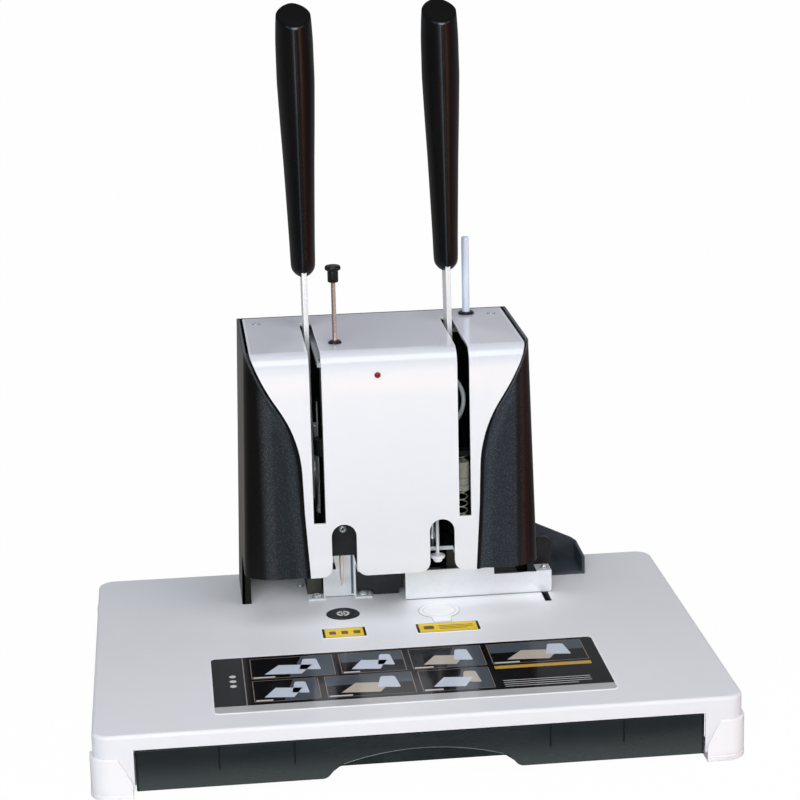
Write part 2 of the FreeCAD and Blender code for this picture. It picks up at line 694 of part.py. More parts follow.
def chip_drawer():
    """Shallow tray with a front that has a finger cut-out, a scoop over it and ribs behind."""
    body = new_body()
    back = drawer_front + s.drawer_length
    wall = s.drawer_wall
    run, low = s.grip_half + s.grip_run, s.drawer_front_low
    pad(body, "XZ", drawer_front, wall * 2,
        [(-drawer_half, low), (-run, low, 4), (-s.grip_half, s.grip_top, 4), (s.grip_half, s.grip_top, 4),
         (run, low, 4), (drawer_half, low), (drawer_half, drawer_top), (-drawer_half, drawer_top)])
    pad(body, "XY", s.drawer_floor_low, drawer_top - s.drawer_floor_low,
        rect(-drawer_half, drawer_front + wall * 2, drawer_half, back))
    pocket(body, "XY", s.drawer_floor_low + wall, drawer_top,
           rect(wall - drawer_half, drawer_front + wall, drawer_half - wall, back - wall, 3))
    pocket(body, "XZ", drawer_front, s.scoop_depth,
           [(-run, s.grip_top - 1), (run, s.grip_top - 1), (run, s.scoop_foot),
            (0, s.scoop_meet, s.scoop_round), (-run, s.scoop_foot)])
    for place in (-s.rib_outer, -s.rib_inner, s.rib_inner, s.rib_outer):
        pad(body, "XY", s.drawer_floor_low + wall / 2, drawer_top - s.drawer_floor_low - wall,
            rect(place - s.rib_width / 2, drawer_front + wall / 2, place + s.rib_width / 2,
                 drawer_front + wall + 3))
    node(body, "chip_drawer")


def drawer_runners():
    """Two angles that hang from the deck and carry the drawer."""
    rails = []
    for side in (-1, 1):
        body = new_body()
        inner = side * (drawer_half + s.runner_play)
        outer = inner + side * s.runner_sheet
        lip = side * (drawer_half - s.runner_lip)
        top = s.drawer_floor_low - s.runner_play
        low = top - s.runner_sheet
        profile = [(outer, low), (outer, deck_low), (inner, deck_low), (inner, top), (lip, top), (lip, low)]
        pad(body, "XZ", drawer_front + s.drawer_wall * 2 + 2, s.drawer_length - s.drawer_wall * 2 - 4,
            profile)
        rails.append(body)
    group("drawer_runners", *rails)


def drill_pad():
    """Cutting pad under the drill, in its cup."""
    turned("drill_pad", drill_x, s.drill_depth,
           rod_profile(s.pad_radius, cup_floor, s.deck_height + s.pad_proud))


def rivet_disc():
    """Pale disc with a tongue towards the user, level with the deck."""
    body = new_body()
    top = s.deck_height + s.disc_proud
    low = top - s.disc_thickness
    pad(body, "XY", low, s.disc_thickness, circle(rivet_x, s.rivet_depth, s.disc_radius))
    pad(body, "XY", low, s.disc_thickness,
        rect(rivet_x - s.tongue_half, s.rivet_depth - s.tongue_reach, rivet_x + s.tongue_half,
             s.rivet_depth, 2))
    node(body, "rivet_disc")


def rivet_anvil():
    """Heated lower die under the rivet disc."""
    low = s.deck_height + s.disc_proud - s.disc_thickness
    rim = s.disc_radius - 1
    turned("rivet_anvil", rivet_x, s.rivet_depth,
           [(0, deck_low - s.anvil_thickness), (s.anvil_radius, deck_low - s.anvil_thickness),
            (s.anvil_radius, deck_low), (rim, deck_low), (rim, low), (0, low)])


def labels():
    """Glossy instruction label in front, and a small label at each station."""
    body = new_body()
    back = -s.label_back
    pad(body, "XY", s.deck_height, s.label_thickness,
        rect(-s.label_half, back - s.label_depth, s.label_half, back, s.label_corner))
    node(body, "instruction_label")
    stickers = []
    for start, end, front in ((s.sticker_left_start, s.sticker_left_end, s.sticker_left_front),
                              (s.sticker_right_start, s.sticker_right_end, s.sticker_right_front)):
        sticker = new_body()
        pad(sticker, "XY", s.deck_height, s.label_thickness,
            rect(start, front, end, front + s.sticker_depth, 1))
        stickers.append(sticker)
    group("station_labels", *stickers)


# ---------------------------------------------------------------- stops on the deck

def drill_backstop():
    """Left zinc plate with a side return and two tabs on the deck."""
    body = new_body()
    deck, start, end, front = s.deck_height, s.left_stop_start, s.left_stop_end, s.left_stop_front
    high = s.shelf_low - s.cover_gap - deck
    pad(body, "XY", deck, high, rect(start, front, end, front + s.zinc_sheet))
    pad(body, "XY", deck, high, rect(end - s.zinc_sheet, front - s.stop_return, end,
                                     front + s.zinc_sheet / 2))
    tab = front - s.tab_ahead
    for x0, x1 in ((start - s.foot_tab, start + s.zinc_sheet), (end - s.zinc_sheet, end + s.foot_tab)):
        pad(body, "XY", deck, s.zinc_sheet, rect(x0, tab, x1, tab + s.foot_tab))
    node(body, "drill_backstop")


def rivet_backstop():
    """Right zinc plate: high behind the disc, stepped down, and a tab with a flange at its end."""
    body = new_body()
    deck, front = s.deck_height, s.right_stop_front
    high, low = deck + s.right_stop_high, deck + s.right_stop_low
    pad(body, "XZ", front, s.zinc_sheet,
        [(s.right_stop_start, deck), (s.right_stop_end, deck, 2), (s.right_stop_end, low + 0.6),
         (s.right_stop_tab, low + 0.6), (s.right_stop_tab, low), (s.right_stop_step, low),
         (s.right_stop_step, high), (s.right_stop_start, high)])
    pad(body, "XY", low + 0.6 - s.zinc_sheet, s.zinc_sheet,
        rect(s.right_stop_tab, front + s.zinc_sheet / 2, s.right_stop_end, front + s.right_stop_flange))
    pad(body, "XY", deck, s.zinc_sheet,
        rect(s.right_stop_start, front + s.zinc_sheet / 2, s.right_stop_start + s.foot_tab,
             front + s.foot_tab))
    node(body, "rivet_backstop")


def centre_wall():
    """Black wall between the two stations, notched beside its foot, which runs back on the deck."""
    body = new_body()
    deck, top, notch = s.deck_height, s.shelf_low - s.cover_gap, s.deck_height + s.wall_notch
    pad(body, "XZ", s.wall_front, s.wall_sheet,
        [(s.wall_start, notch), (s.wall_foot_start, notch), (s.wall_foot_start, deck),
         (s.wall_foot_end, deck), (s.wall_foot_end, notch), (s.wall_end, notch), (s.wall_end, top),
         (s.wall_start, top)])
    pad(body, "XY", deck, s.wall_sheet,
        rect(s.wall_foot_start, s.wall_front + s.wall_sheet / 2, s.wall_foot_end,
             s.wall_front + s.foot_tab))
    node(body, "centre_wall")


def side_stop_post():
    """Black upright with a round top behind the tab of the right back stop."""
    body = new_body()
    x0, x1 = s.stop_post_start, s.stop_post_end
    top = s.deck_height + s.stop_post_high
    pad(body, "XZ", s.stop_post_front, s.stop_post_thick,
        [(x0, s.deck_height), (x1, s.deck_height), (x1, top, (x1 - x0) * 0.45), (x0, top, (x1 - x0) * 0.45)])
    pad(body, "XY", s.deck_height, s.stop_post_thick,
        rect(x0, s.stop_post_front + s.stop_post_thick / 2, x1, s.stop_post_front + s.foot_tab))
    node(body, "side_stop_post")


def offcut_tray():
    """Sloping tray beside the tower, open to the front."""
    body = new_body()
    deck, sheet_ = s.deck_height, s.tray_sheet
    x0, x1, y0, y1 = s.tray_start, s.tray_end, s.tray_front, s.tray_back
    pad(body, "XY", deck, sheet_, rect(x0, y0, x1, y1))
    pad(body, "XZ", y1 - sheet_, sheet_,
        [(x0, deck), (x1, deck), (x1, deck + s.tray_low), (x1 - 4, deck + s.tray_low + 3),
         (x0, deck + s.tray_high)])
    pad(body, "YZ", x1 - sheet_, sheet_,
        [(y0, deck), (y1, deck), (y1, deck + s.tray_low), (y0, deck + s.tray_low - 1)])
    pad(body, "YZ", x0, sheet_,
        [(y0 + 8, deck), (y1, deck), (y1, deck + s.tray_high), (y1 - 10, deck + s.tray_high)])
    node(body, "offcut_tray")


def pan_head(x, y, z, radius, high, axis=None, angle=0):
    """Low domed screw head standing on a face."""
    body = new_body(x, y, z, axis, angle)
    revolve(body, [(0, 0), (radius, 0), (radius, high * 0.4), (radius * 0.55, high), (0, high)])
    return body


def screws():
    """Pan heads of the brackets and the guard, and the screws of the covers."""
    tab = s.deck_height + s.zinc_sheet
    flange = s.deck_height + s.right_stop_low + 0.6
    half_tab = s.foot_tab / 2
    row = s.left_stop_front - s.tab_screw_ahead
    heads = [
        pan_head(s.left_stop_start - s.tab_screw_out, row, tab, s.screw_radius, s.screw_high),
        pan_head(s.left_stop_end + s.tab_screw_out, row, tab, s.screw_radius, s.screw_high),
        pan_head(s.right_stop_end - half_tab / 2 - s.zinc_sheet,
                 s.right_stop_front + half_tab + s.tab_screw_ahead,
                 flange, s.screw_radius * 0.7, s.screw_high),
        pan_head(drill_x, s.guard_front, s.guard_low + s.guard_screw_up, s.screw_radius * 0.8,
                 s.screw_high * 0.7,
                 (1, 0, 0), 90),
        pan_head(-s.frame_inner - s.frame_sheet - s.frame_screw_out, s.pivot_y + s.frame_screw_back,
                 s.deck_height,
                 s.screw_radius * 0.7, s.screw_high),
    ]
    group("bracket_screws", *heads)
    caps = []
    for side in (-1, 1):
        caps.append(pan_head(side * (s.panel_half - s.top_screw_in), s.housing_back - s.top_screw_ahead,
                             s.housing_top, s.cover_screw_radius, s.cover_screw_high))
        low, high = s.deck_height + s.rear_screw_end, s.housing_top - s.rear_screw_end
        for height in (low, (low + high) / 2, high):
            caps.append(pan_head(side * (s.panel_half - s.rear_screw_in), rear_face, height,
                                 s.cover_screw_radius, s.cover_screw_high, (1, 0, 0), -90))
    group("cover_screws", *caps)


# ---------------------------------------------------------------- housing

def side_line(shift, side=1):
    """Swept edge of the panel from its foot to its shoulder, moved sideways by a shift."""
    return [(side * (s.panel_foot_half + shift), s.panel_bottom),
            (side * (s.panel_waist_half + shift), s.panel_waist_z),
            (side * (s.panel_neck_half + shift), s.panel_neck_z, s.panel_sweep_low),
            (side * (s.panel_shoulder_half + shift), s.panel_shoulder_z, s.panel_sweep_high),
            (side * (s.panel_half + shift), s.housing_top)]


def front_panel():
    """One bent white sheet: the front and the top, with arches, lever slots and holes."""
    body = new_body()
    front, sheet_, top = s.panel_front, s.panel_sheet, s.housing_top
    pad(body, "YZ", -s.panel_half, s.panel_half * 2,
        [(front, s.panel_bottom), (front, top, s.panel_bend), (s.housing_back, top),
         (s.housing_back, top - sheet_), (front + sheet_, top - sheet_, s.panel_bend - sheet_),
         (front + sheet_, s.panel_bottom)])
    out = s.panel_half + 5
    low, ahead = s.panel_bottom - 5, front - 1
    for side in (-1, 1):
        edge = side_line(0, side)
        pocket(body, "XZ", ahead, s.panel_bend + 1,
               [(edge[0][0], low)] + edge[:-1] + [(edge[-1][0], top + 0.01), (side * out, top + 0.01),
                                                  (side * out, low)])
    for x in (drill_x, rivet_x):
        left, right, reach = x - s.arch_half, x + s.arch_half, s.arch_flare + 2
        pocket(body, "XZ", ahead, sheet_ + 2,
               [(left - reach, low), (right + reach, low), (right + reach, s.panel_bottom),
                (right, s.panel_bottom, s.arch_flare), (right, s.arch_top, s.arch_round),
                (left, s.arch_top, s.arch_round), (left, s.panel_bottom, s.arch_flare),
                (left - reach, s.panel_bottom)])
    slots = [rect(-s.slot_outer, s.slot_bottom, -s.slot_inner, top + 1),
             rect(s.slot_inner, s.slot_bottom, s.slot_outer, top + 1)]
    pocket(body, "XZ", ahead, s.panel_bend + 2, *slots)
    tops = [rect(-s.slot_outer, front + s.panel_bend, -s.slot_inner, s.slot_back),
            rect(s.slot_inner, front + s.panel_bend, s.slot_outer, s.slot_back)]
    pocket(body, "XY", top - sheet_ - 1, sheet_ + 2, *tops)
    pocket(body, "XY", top - sheet_ - 1, sheet_ + 2,
           circle(drill_x, s.drill_depth, s.bush_neck + s.seat_gap),
           circle(s.tube_x, s.tube_y, s.tube_radius + s.bush_neck / 2 + s.seat_gap))
    pocket(body, "XZ", ahead, sheet_ + 2, circle(s.lamp_x, s.lamp_z, s.lamp_radius + s.seat_gap))
    node(body, "front_panel")


def side_cover(side, label):
    """Textured side cover: a drafted shell with a round front corner, open over the paper throat."""
    body = new_body()
    inner = side * s.slot_outer

    def section(outside):
        out = side * outside
        skin = side * (outside - s.cover_sheet)
        back = s.housing_back
        return [(inner, lap_front), (out, lap_front, s.cover_corner), (out, back), (skin, back),
                (skin, lap_front + s.cover_sheet, s.cover_corner - s.cover_sheet),
                (inner, lap_front + s.cover_sheet)]

    loft = body.newObject("PartDesign::AdditiveLoft", "loft")
    loft.Profile = draw(body, "XY", s.deck_height, [section(s.cover_foot_half)])
    loft.Sections = [(draw(body, "XY", s.housing_top, [section(s.cover_top_half)]), [""])]
    loft.Ruled = True
    wide = s.cover_foot_half + 2
    pocket(body, "YZ", -wide, wide * 2,
           [(0, 0), (s.throat_back, 0), (s.throat_back, s.cover_bottom, 3), (0, s.cover_bottom)])
    lap = s.panel_bend + s.cover_gap
    bend_low = s.housing_top - s.panel_bend - 1
    line = side_line(-s.cover_lap, side)
    over = side * (s.panel_half + s.cover_gap)
    rise = (s.housing_top - s.panel_shoulder_z)
    slope = (s.panel_half - s.panel_shoulder_half) / rise
    step = side * (s.panel_shoulder_half + slope * (bend_low - s.panel_shoulder_z) + s.cover_gap)
    step_in = step - side * (s.cover_gap + s.cover_lap)
    pocket(body, "XZ", lap_front - 1, lap + 5,
           [(side * 40, 0), (line[0][0], 0)] + line[:-1]
           + [(step_in, bend_low), (step, bend_low), (over, s.housing_top - s.panel_sheet - s.cover_gap),
              (over, s.housing_top + 1), (side * 40, s.housing_top + 1)])
    node(body, label)


def rear_cover():
    """Back plate with vents and the opening of the power inlet."""
    body = new_body()
    start = s.housing_back + s.cover_gap
    pad(body, "XZ", start, s.rear_sheet,
        [(-s.cover_foot_half, s.deck_height), (s.cover_foot_half, s.deck_height),
         (s.cover_top_half, s.housing_top), (-s.cover_top_half, s.housing_top)])
    for i in range(int(s.vent_count.number)):
        low = s.vent_first + s.vent_pitch * i
        pocket(body, "XZ", start - 1, s.rear_sheet + 2, rect(-s.vent_half, low, s.vent_half,
                                                             low + s.vent_high, 1.4))
    play = s.inlet_half + s.seat_gap
    tall = s.inlet_half_high + s.seat_gap
    pocket(body, "XZ", start - 1, s.rear_sheet + 2,
           rect(s.inlet_x - play, s.inlet_z - tall, s.inlet_x + play, s.inlet_z + tall))
    node(body, "rear_cover")


def status_lamp():
    """Red lamp in the panel, with a collar behind."""
    body = new_body(s.lamp_x, s.panel_front - s.lamp_proud, s.lamp_z, (1, 0, 0), -90)
    through = s.lamp_proud + s.panel_sheet
    revolve(body, [(0, 0), (s.lamp_radius * 0.6, 0), (s.lamp_radius, s.lamp_proud * 0.7),
                   (s.lamp_radius, through),
                   (s.lamp_radius + 1, through), (s.lamp_radius + 1, through + 4), (0, through + 4)])
    node(body, "status_lamp")


def bushes():
    """Black bushes in the top for the clearing rod and the nylon tube."""
    for label, x, y, rod in (("rod_bush", drill_x, s.drill_depth, s.rod_radius),
                             ("tube_bush", s.tube_x, s.tube_y, s.tube_radius)):
        bore = rod + s.bush_play
        neck = s.bush_neck if label == "rod_bush" else s.tube_radius + s.bush_neck / 2
        flange = neck + s.bush_flange - s.bush_neck
        top = s.housing_top
        turned(label, x, y,
               [(bore, top - s.bush_low), (neck, top - s.bush_low), (neck, top), (flange, top),
                (flange, top + s.bush_high * 0.6), (neck, top + s.bush_high), (bore, top + s.bush_high)])


# ---------------------------------------------------------------- frame

def frame_plates():
    """Two steel side plates that carry the axle, the lower plate and the top plate.

    Below the covers each steps inwards to a leg with a lip in front and a foot on the deck.
    """
    for side, label in ((-1, "left_frame_plate"), (1, "right_frame_plate")):
        body = new_body()
        start = s.frame_inner if side > 0 else -s.frame_inner - s.frame_sheet
        rear_step = s.bridge_wing - 1
        deck, step = s.deck_height, s.shelf_low - 1
        pad(body, "YZ", start, s.frame_sheet,
            [(s.frame_back, step), (s.frame_back, s.bridge_low),
             (rear_step, s.bridge_low), (s.pivot_y + 14, s.pivot_z + 26, 8),
             (s.frame_front, s.frame_rise, 6), (s.frame_front, step)],
            circle(s.pivot_y, s.pivot_z, s.axle_radius + s.seat_play))
        leg = side * s.frame_leg_outer
        leg_inner = side * (s.frame_leg_outer - s.frame_sheet)
        pad(body, "XY", step - s.frame_sheet, s.frame_sheet,
            rect(side * (s.frame_inner + s.frame_sheet), s.throat_wall, leg_inner, s.frame_back))
        pad(body, "XY", deck, step - deck, rect(leg, s.throat_wall, leg_inner, s.frame_back))
        pad(body, "XY", deck, step - deck,
            rect(leg, s.throat_wall, side * (s.frame_leg_outer - s.frame_leg_lip),
                 s.throat_wall + s.frame_leg_lip_sheet))
        pad(body, "XY", deck, s.frame_sheet,
            rect(leg, s.frame_back - s.frame_foot_long, side * (s.frame_inner - s.frame_foot),
                 s.frame_back))
        node(body, label)


def column_places():
    """Middles of the four guide columns."""
    return [(s.drill_column_x, s.drill_column_y), (-s.inner_column_x, s.drill_depth),
            (s.inner_column_x, s.rivet_depth), (rivet_x, s.rivet_column_y)]


def lower_plate():
    """Shelf over the throat, notched for the drill and the rivet head."""
    body = new_body()
    half, back = s.frame_inner - s.seat_gap, s.throat_wall - 1
    seats = [circle(x, y, s.column_radius + s.seat_play) for x, y in column_places()]
    pad(body, "XY", s.shelf_low, s.shelf_sheet, rect(-half, s.frame_front, half, back), *seats)
    deep = s.drill_depth + 12
    for x0, x1 in ((drill_x - 5.4, drill_x + 9), (rivet_x - 11, rivet_x + 12.5)):
        pocket(body, "XY", s.shelf_low - 1, s.shelf_sheet + 2, rect(x0, s.frame_front - 1, x1, deep))
    pitch_line = s.pivot_y - drill_gear
    outer = s.rack_inner + s.rack_width
    pocket(body, "XY", s.shelf_low - 1, s.shelf_sheet + 2,
           rect(-outer - 0.6, pitch_line - s.rack_thick - 0.6, 0.6 - s.rack_inner,
                pitch_line + s.addendum + 0.6))
    node(body, "lower_plate")


def top_plate():
    """Bridge that holds the columns' upper ends, open where the levers swing."""
    body = new_body()
    wing = s.frame_inner + s.frame_sheet
    seats = [circle(x, y, s.column_neck + s.seat_play) for x, y in column_places()]
    seats.append(circle(drill_x, s.drill_depth, s.chuck_radius))
    pad(body, "XY", s.bridge_low, s.bridge_sheet,
        [(-s.bridge_half, s.frame_front + 6), (s.bridge_half, s.frame_front + 6),
         (s.bridge_half, s.bridge_wing),
         (wing, s.bridge_wing), (wing, s.frame_back), (-wing, s.frame_back), (-wing, s.bridge_wing),
         (-s.bridge_half, s.bridge_wing)], *seats)
    node(body, "top_plate")


def guide_columns():
    """Four polished columns between the lower plate and the top plate."""
    top = s.bridge_low + s.bridge_sheet
    columns = []
    for x, y in column_places():
        body = new_body(x, y)
        revolve(body, [(0, s.shelf_low), (s.column_radius, s.shelf_low), (s.column_radius, s.bridge_low),
                       (s.column_neck, s.bridge_low), (s.column_neck, top), (0, top)])
        columns.append(body)
    group("guide_columns", *columns)


def lever_axle():
    """Fixed axle through both frame plates, with a groove for a clip near each end."""
    half = s.frame_inner + s.frame_sheet + 3
    body = new_body(0, s.pivot_y, s.pivot_z, (0, 1, 0), 90)
    edge, clip, groove = half - 1.2, half - 2.2, s.axle_radius - 0.8
    revolve(body, [(0, -half), (s.axle_radius, -half), (s.axle_radius, -edge), (groove, -edge),
                   (groove, -clip),
                   (s.axle_radius, -clip), (s.axle_radius, clip), (groove, clip), (groove, edge),
                   (s.axle_radius, edge), (s.axle_radius, half), (0, half)])
    node(body, "lever_axle")


# ---------------------------------------------------------------- levers

def lever_body(side):
    """Empty body at the lever pivot, leaning back as the levers do at rest."""
    return new_body(side * s.lever_middle, s.pivot_y, s.pivot_z, (1, 0, 0), -s.lever_lean.number)


def lever_bar(side, label):
    """Flat steel bar on the axle, with a round foot."""
    body = lever_body(side)
    pad(body, "YZ", -s.bar_thick / 2, s.bar_thick,
        [(-s.bar_half, -s.bar_tail, 5), (s.bar_half, -s.bar_tail, 5), (s.bar_half, s.bar_length, 3),
         (-s.bar_half, s.bar_length, 3)],
        circle(0, 0, s.axle_radius + s.turn_fit))
    node(body, label)


def lever_grip(side, label):
    """Moulded grip: it swells towards its slanted top, and has a slit for the bar."""
    body = lever_body(side)
    stations = [(0.0, s.handle_root_x, s.handle_root_y), (0.05, s.handle_neck_x, s.handle_neck_y),
                (0.35, s.handle_waist_x, s.handle_waist_y), (0.68, s.handle_belly_x, s.handle_belly_y),
                (0.87, s.handle_crown_x, s.handle_crown_y), (1.0, s.handle_end_x, s.handle_end_y)]
    sketches = []
    for share, half_x, half_y in stations:
        height = s.handle_start + s.handle_length * share
        corners = rect(-half_x, -half_y, half_x, half_y, half_x * s.handle_round)
        sketches.append(draw(body, "XY", height, [corners]))
    loft = body.newObject("PartDesign::AdditiveLoft", "loft")
    loft.Profile = sketches[0]
    loft.Sections = [(sketch, [""]) for sketch in sketches[1:]]
    top = s.handle_start + s.handle_length
    beside, ahead = s.handle_belly_x * 1.5, s.handle_belly_y * 1.4
    front, above = top - s.slant_high, top + 5
    pocket(body, "YZ", -beside, beside * 2,
           [(-ahead, front), (-s.slant_level, front), (s.slant_back, top - s.slant_drop), (ahead, top),
            (ahead, above), (-ahead, above)])
    play = s.handle_cover_gap
    pocket(body, "XY", s.handle_start - 1, s.bar_length + play - s.handle_start + 1,
           rect(-s.bar_thick / 2 - play, -s.bar_half - play, s.bar_thick / 2 + play, s.bar_half + play))
    node(body, label)


def pinion(side, teeth, radius, label):
    """Gear on the axle beside its lever bar, with a hub that meets the bar."""
    body = new_body(0, s.pivot_y, s.pivot_z)
    start = s.gear_inner if side > 0 else -s.gear_inner - s.gear_width
    bore = circle(0, 0, s.axle_radius + s.turn_fit)
    pad(body, "YZ", start, s.gear_width, circle(0, 0, radius + s.addendum), bore)
    hub = s.lever_middle - s.bar_thick / 2 - s.gear_inner - s.gear_width
    hub_start = s.gear_inner + s.gear_width if side > 0 else -s.gear_inner - s.gear_width - hub
    pad(body, "YZ", hub_start, hub, circle(0, 0, s.hub_radius), bore)
    gap = tooth_pitch * (1 - s.tooth_share) / 2
    outer, root = radius + s.addendum + 0.5, radius - s.dedendum
    wide = gap + s.flank_run * (s.addendum + 0.5)
    narrow = gap - s.flank_run * s.dedendum
    cut = pocket(body, "YZ", start - 0.5, s.gear_width + 1 if side < 0 else s.gear_width + 0.5,
                 [(-outer, -wide), (-root, -narrow), (-root, narrow), (-outer, wide)])
    doc.recompute()
    ring = body.newObject("PartDesign::PolarPattern", "ring")
    ring.Originals = [cut]
    ring.Axis = (origin_part(body, "X_Axis"), [""])
    ring.Angle = 360
    ring.setExpression("Occurrences", teeth.text)
    body.Tip = ring
    node(body, label)


def rack(side, teeth, radius, label):
    """Toothed bar ahead of its pinion; one tooth stands level with the axle at rest."""
    body = new_body(0, s.pivot_y - radius, s.pivot_z)
    start = s.rack_inner if side > 0 else -s.rack_inner - s.rack_width
    top = tooth_pitch * teeth
    pad(body, "YZ", start, s.rack_width, rect(-s.rack_thick, -s.rack_tail, -s.dedendum, top))
    half = tooth_pitch * s.tooth_share / 2
    tip, root = half - s.flank_run * s.addendum, half + s.flank_run * s.dedendum
    tooth = pad(body, "YZ", start, s.rack_width,
                [(-s.dedendum, -root), (s.addendum, -tip), (s.addendum, tip), (-s.dedendum, root)])
    doc.recompute()
    row = body.newObject("PartDesign::LinearPattern", "row")
    row.Originals = [tooth]
    row.Direction = (tooth.Profile[0], ["V_Axis"])
    row.setExpression("Length", (tooth_pitch * (teeth - 1)).text)
    row.setExpression("Occurrences", teeth.text)
    body.Tip = row
    node(body, label)


# ---------------------------------------------------------------- drill carriage

def drill_carriage():
    """Block with the spindle bore, two lugs on the columns and an arm for the motor."""
    body = new_body()
    low, high = s.head_low, s.head_high
    pad(body, "XY", low, high - low, rect(-s.head_outer, s.head_front, -s.head_inner, s.head_back))
    lug = s.column_radius + s.lug_wall
    lug_high = s.lug_top - low
    pad(body, "XY", low, lug_high, circle(s.drill_column_x, s.drill_column_y, lug))
    pad(body, "XY", low, lug_high, circle(-s.inner_column_x, s.drill_depth, lug))
    pad(body, "XY", low, lug_high,
        rect(-s.head_inner - 1, s.drill_depth - 5, -s.inner_column_x, s.drill_depth + 5))
    pad(body, "XY", high - s.arm_thick, s.arm_thick,
        [(-s.head_outer + 2, s.head_back - 1), (-s.head_inner, s.head_back - 1), (-3, s.motor_y - 12, 5),
         (-3, s.motor_y + 17), (-s.head_outer + 3, s.motor_y + 17), (-s.head_outer + 3, s.head_back + 8)])
    for x, y in column_places()[:2]:
        pocket(body, "XY", low - 1, high - low + 2, circle(x, y, s.column_radius + s.slide_fit))
    pocket(body, "XY", low - 1, high - low + 2, circle(drill_x, s.drill_depth,
                                                       s.bearing_radius + s.seat_play))
    pocket(body, "XY", high - s.arm_thick - 1, s.arm_thick + 2,
           circle(s.motor_x, s.motor_y, s.motor_boss + 0.1))
    node(body, "drill_carriage")


def spindle_bearings():
    """Two ball bearings at the ends of the spindle bore."""
    rings = []
    high = s.head_high - s.bearing_inset - s.bearing_width
    for low in (s.head_low + s.bearing_inset, high):
        body = new_body(drill_x, s.drill_depth)
        revolve(body, rod_profile(s.bearing_radius, low, low + s.bearing_width,
                                  s.spindle_radius + s.turn_fit))
        rings.append(body)
    group("spindle_bearings", *rings)


def spindle_parts():
    """Hollow spindle with its chuck, the hollow drill and the spindle pulley."""
    seat = s.chuck_low + s.drill_seat
    chuck_top = s.head_low - s.chuck_gap
    turned("drill_spindle", drill_x, s.drill_depth,
           [(s.drill_radius, s.chuck_low), (s.chuck_radius - 1.5, s.chuck_low),
            (s.chuck_radius, s.chuck_low + 3),
            (s.chuck_radius, chuck_top), (s.spindle_radius, chuck_top), (s.spindle_radius, s.spindle_top),
            (s.bore_radius, s.spindle_top), (s.bore_radius, seat), (s.drill_radius, seat)])
    turned("drill_bit", drill_x, s.drill_depth,
           [(s.bore_radius, s.drill_tip), (s.drill_radius, s.drill_tip + 2), (s.drill_radius, seat),
            (s.bore_radius, seat)])
    turned("spindle_pulley", drill_x, s.drill_depth, pulley_profile(s.spindle_radius))


def pulley_profile(bore):
    """Profile of a flat-belt pulley with two flanges."""
    low, top = s.pulley_low, s.pulley_low + s.pulley_high
    return [(bore, low), (s.pulley_flange, low), (s.pulley_flange, low + s.flange_thick),
            (s.pulley_core, low + s.flange_thick), (s.pulley_core, top - s.flange_thick),
            (s.pulley_flange, top - s.flange_thick), (s.pulley_flange, top), (bore, top)]


def motor_parts():
    """Motor under the arm, and the pulley on its shaft."""
    top = s.head_high - s.arm_thick
    low = top - s.motor_length
    bore = s.shaft_radius + s.turn_fit
    turned("drill_motor", s.motor_x, s.motor_y,
           [(0, low), (s.motor_radius - 2, low), (s.motor_radius, low + 2), (s.motor_radius, top),
            (s.motor_boss, top),
            (s.motor_boss, s.head_high - 0.5), (bore, s.head_high - 0.5), (bore, top - 16), (0, top - 16)])
    profile = pulley_profile(0)
    shaft_low = top - 15.5
    turned("motor_pulley", s.motor_x, s.motor_y,
           [(0, shaft_low), (s.shaft_radius, shaft_low), (s.shaft_radius, s.pulley_low)] + profile[1:])


def drive_belt():
    """Flat belt round the two equal pulleys."""
    run_x, run_y = s.motor_x - drill_x, s.motor_y - s.drill_depth
    span = math.hypot(run_x.number, run_y.number)
    body = new_body(drill_x, s.drill_depth, 0, (0, 0, 1), math.degrees(math.atan2(run_y.number,
                                                                                  run_x.number)))
    inner = s.pulley_core + s.belt_gap
    outer = inner + s.belt_thick
    low = s.pulley_low + s.flange_thick + 0.3
    pad(body, "XY", low, s.pulley_high - s.flange_thick * 2 - 0.6,
        rect(-outer, -outer, outer + span, outer, outer * 0.995),
        rect(-inner, -inner, inner + span, inner, inner * 0.995))
    node(body, "drive_belt")


def clearing_rod():
    """Thin pointed rod through the hollow spindle, and the knob on its top."""
    top = s.knob_low + s.knob_body
    turned("clearing_rod", drill_x, s.drill_depth,
           [(0, s.rod_tip), (s.rod_radius * 0.2, s.rod_tip), (s.rod_radius, s.rod_tip + s.rod_point),
            (s.rod_radius, top), (0, top)])
    end = top + s.knob_flange_high
    turned("rod_knob", drill_x, s.drill_depth,
           [(s.rod_radius, s.knob_low), (s.knob_radius - 0.4, s.knob_low), (s.knob_radius, s.knob_low + 0.4),
            (s.knob_radius, top), (s.knob_flange, top + 0.8), (s.knob_flange, end - 1.2),
            (s.knob_flange - 1.6, end),
            (0, end), (0, top), (s.rod_radius, top)])


def drill_guard():
    """Round-topped black guard ahead of the drill, with a floor that stands on the lower plate."""
    body = new_body()
    top = s.guard_low + 24.4
    round_top = s.guard_half * 0.96
    pad(body, "XZ", s.guard_front, s.guard_sheet,
        [(drill_x - s.guard_half, s.guard_low), (drill_x + s.guard_half, s.guard_low),
         (drill_x + s.guard_half, top, round_top), (drill_x - s.guard_half, top, round_top)])
    floor = rect(drill_x - s.guard_floor_half, s.guard_front + s.guard_sheet / 2,
                 drill_x + s.guard_half - 1, s.guard_foot)
    pad(body, "XY", s.guard_low, s.guard_floor, floor)
    foot = s.drill_depth + 12.3
    pad(body, "XY", shelf_top, s.guard_low - shelf_top + s.guard_floor / 2,
        rect(drill_x - s.guard_floor_half, foot, drill_x + s.guard_half - 1, s.guard_foot))
    pocket(body, "XY", s.guard_low - 1, s.guard_floor + 2, circle(drill_x, s.drill_depth, s.guard_hole))
    node(body, "drill_guard")


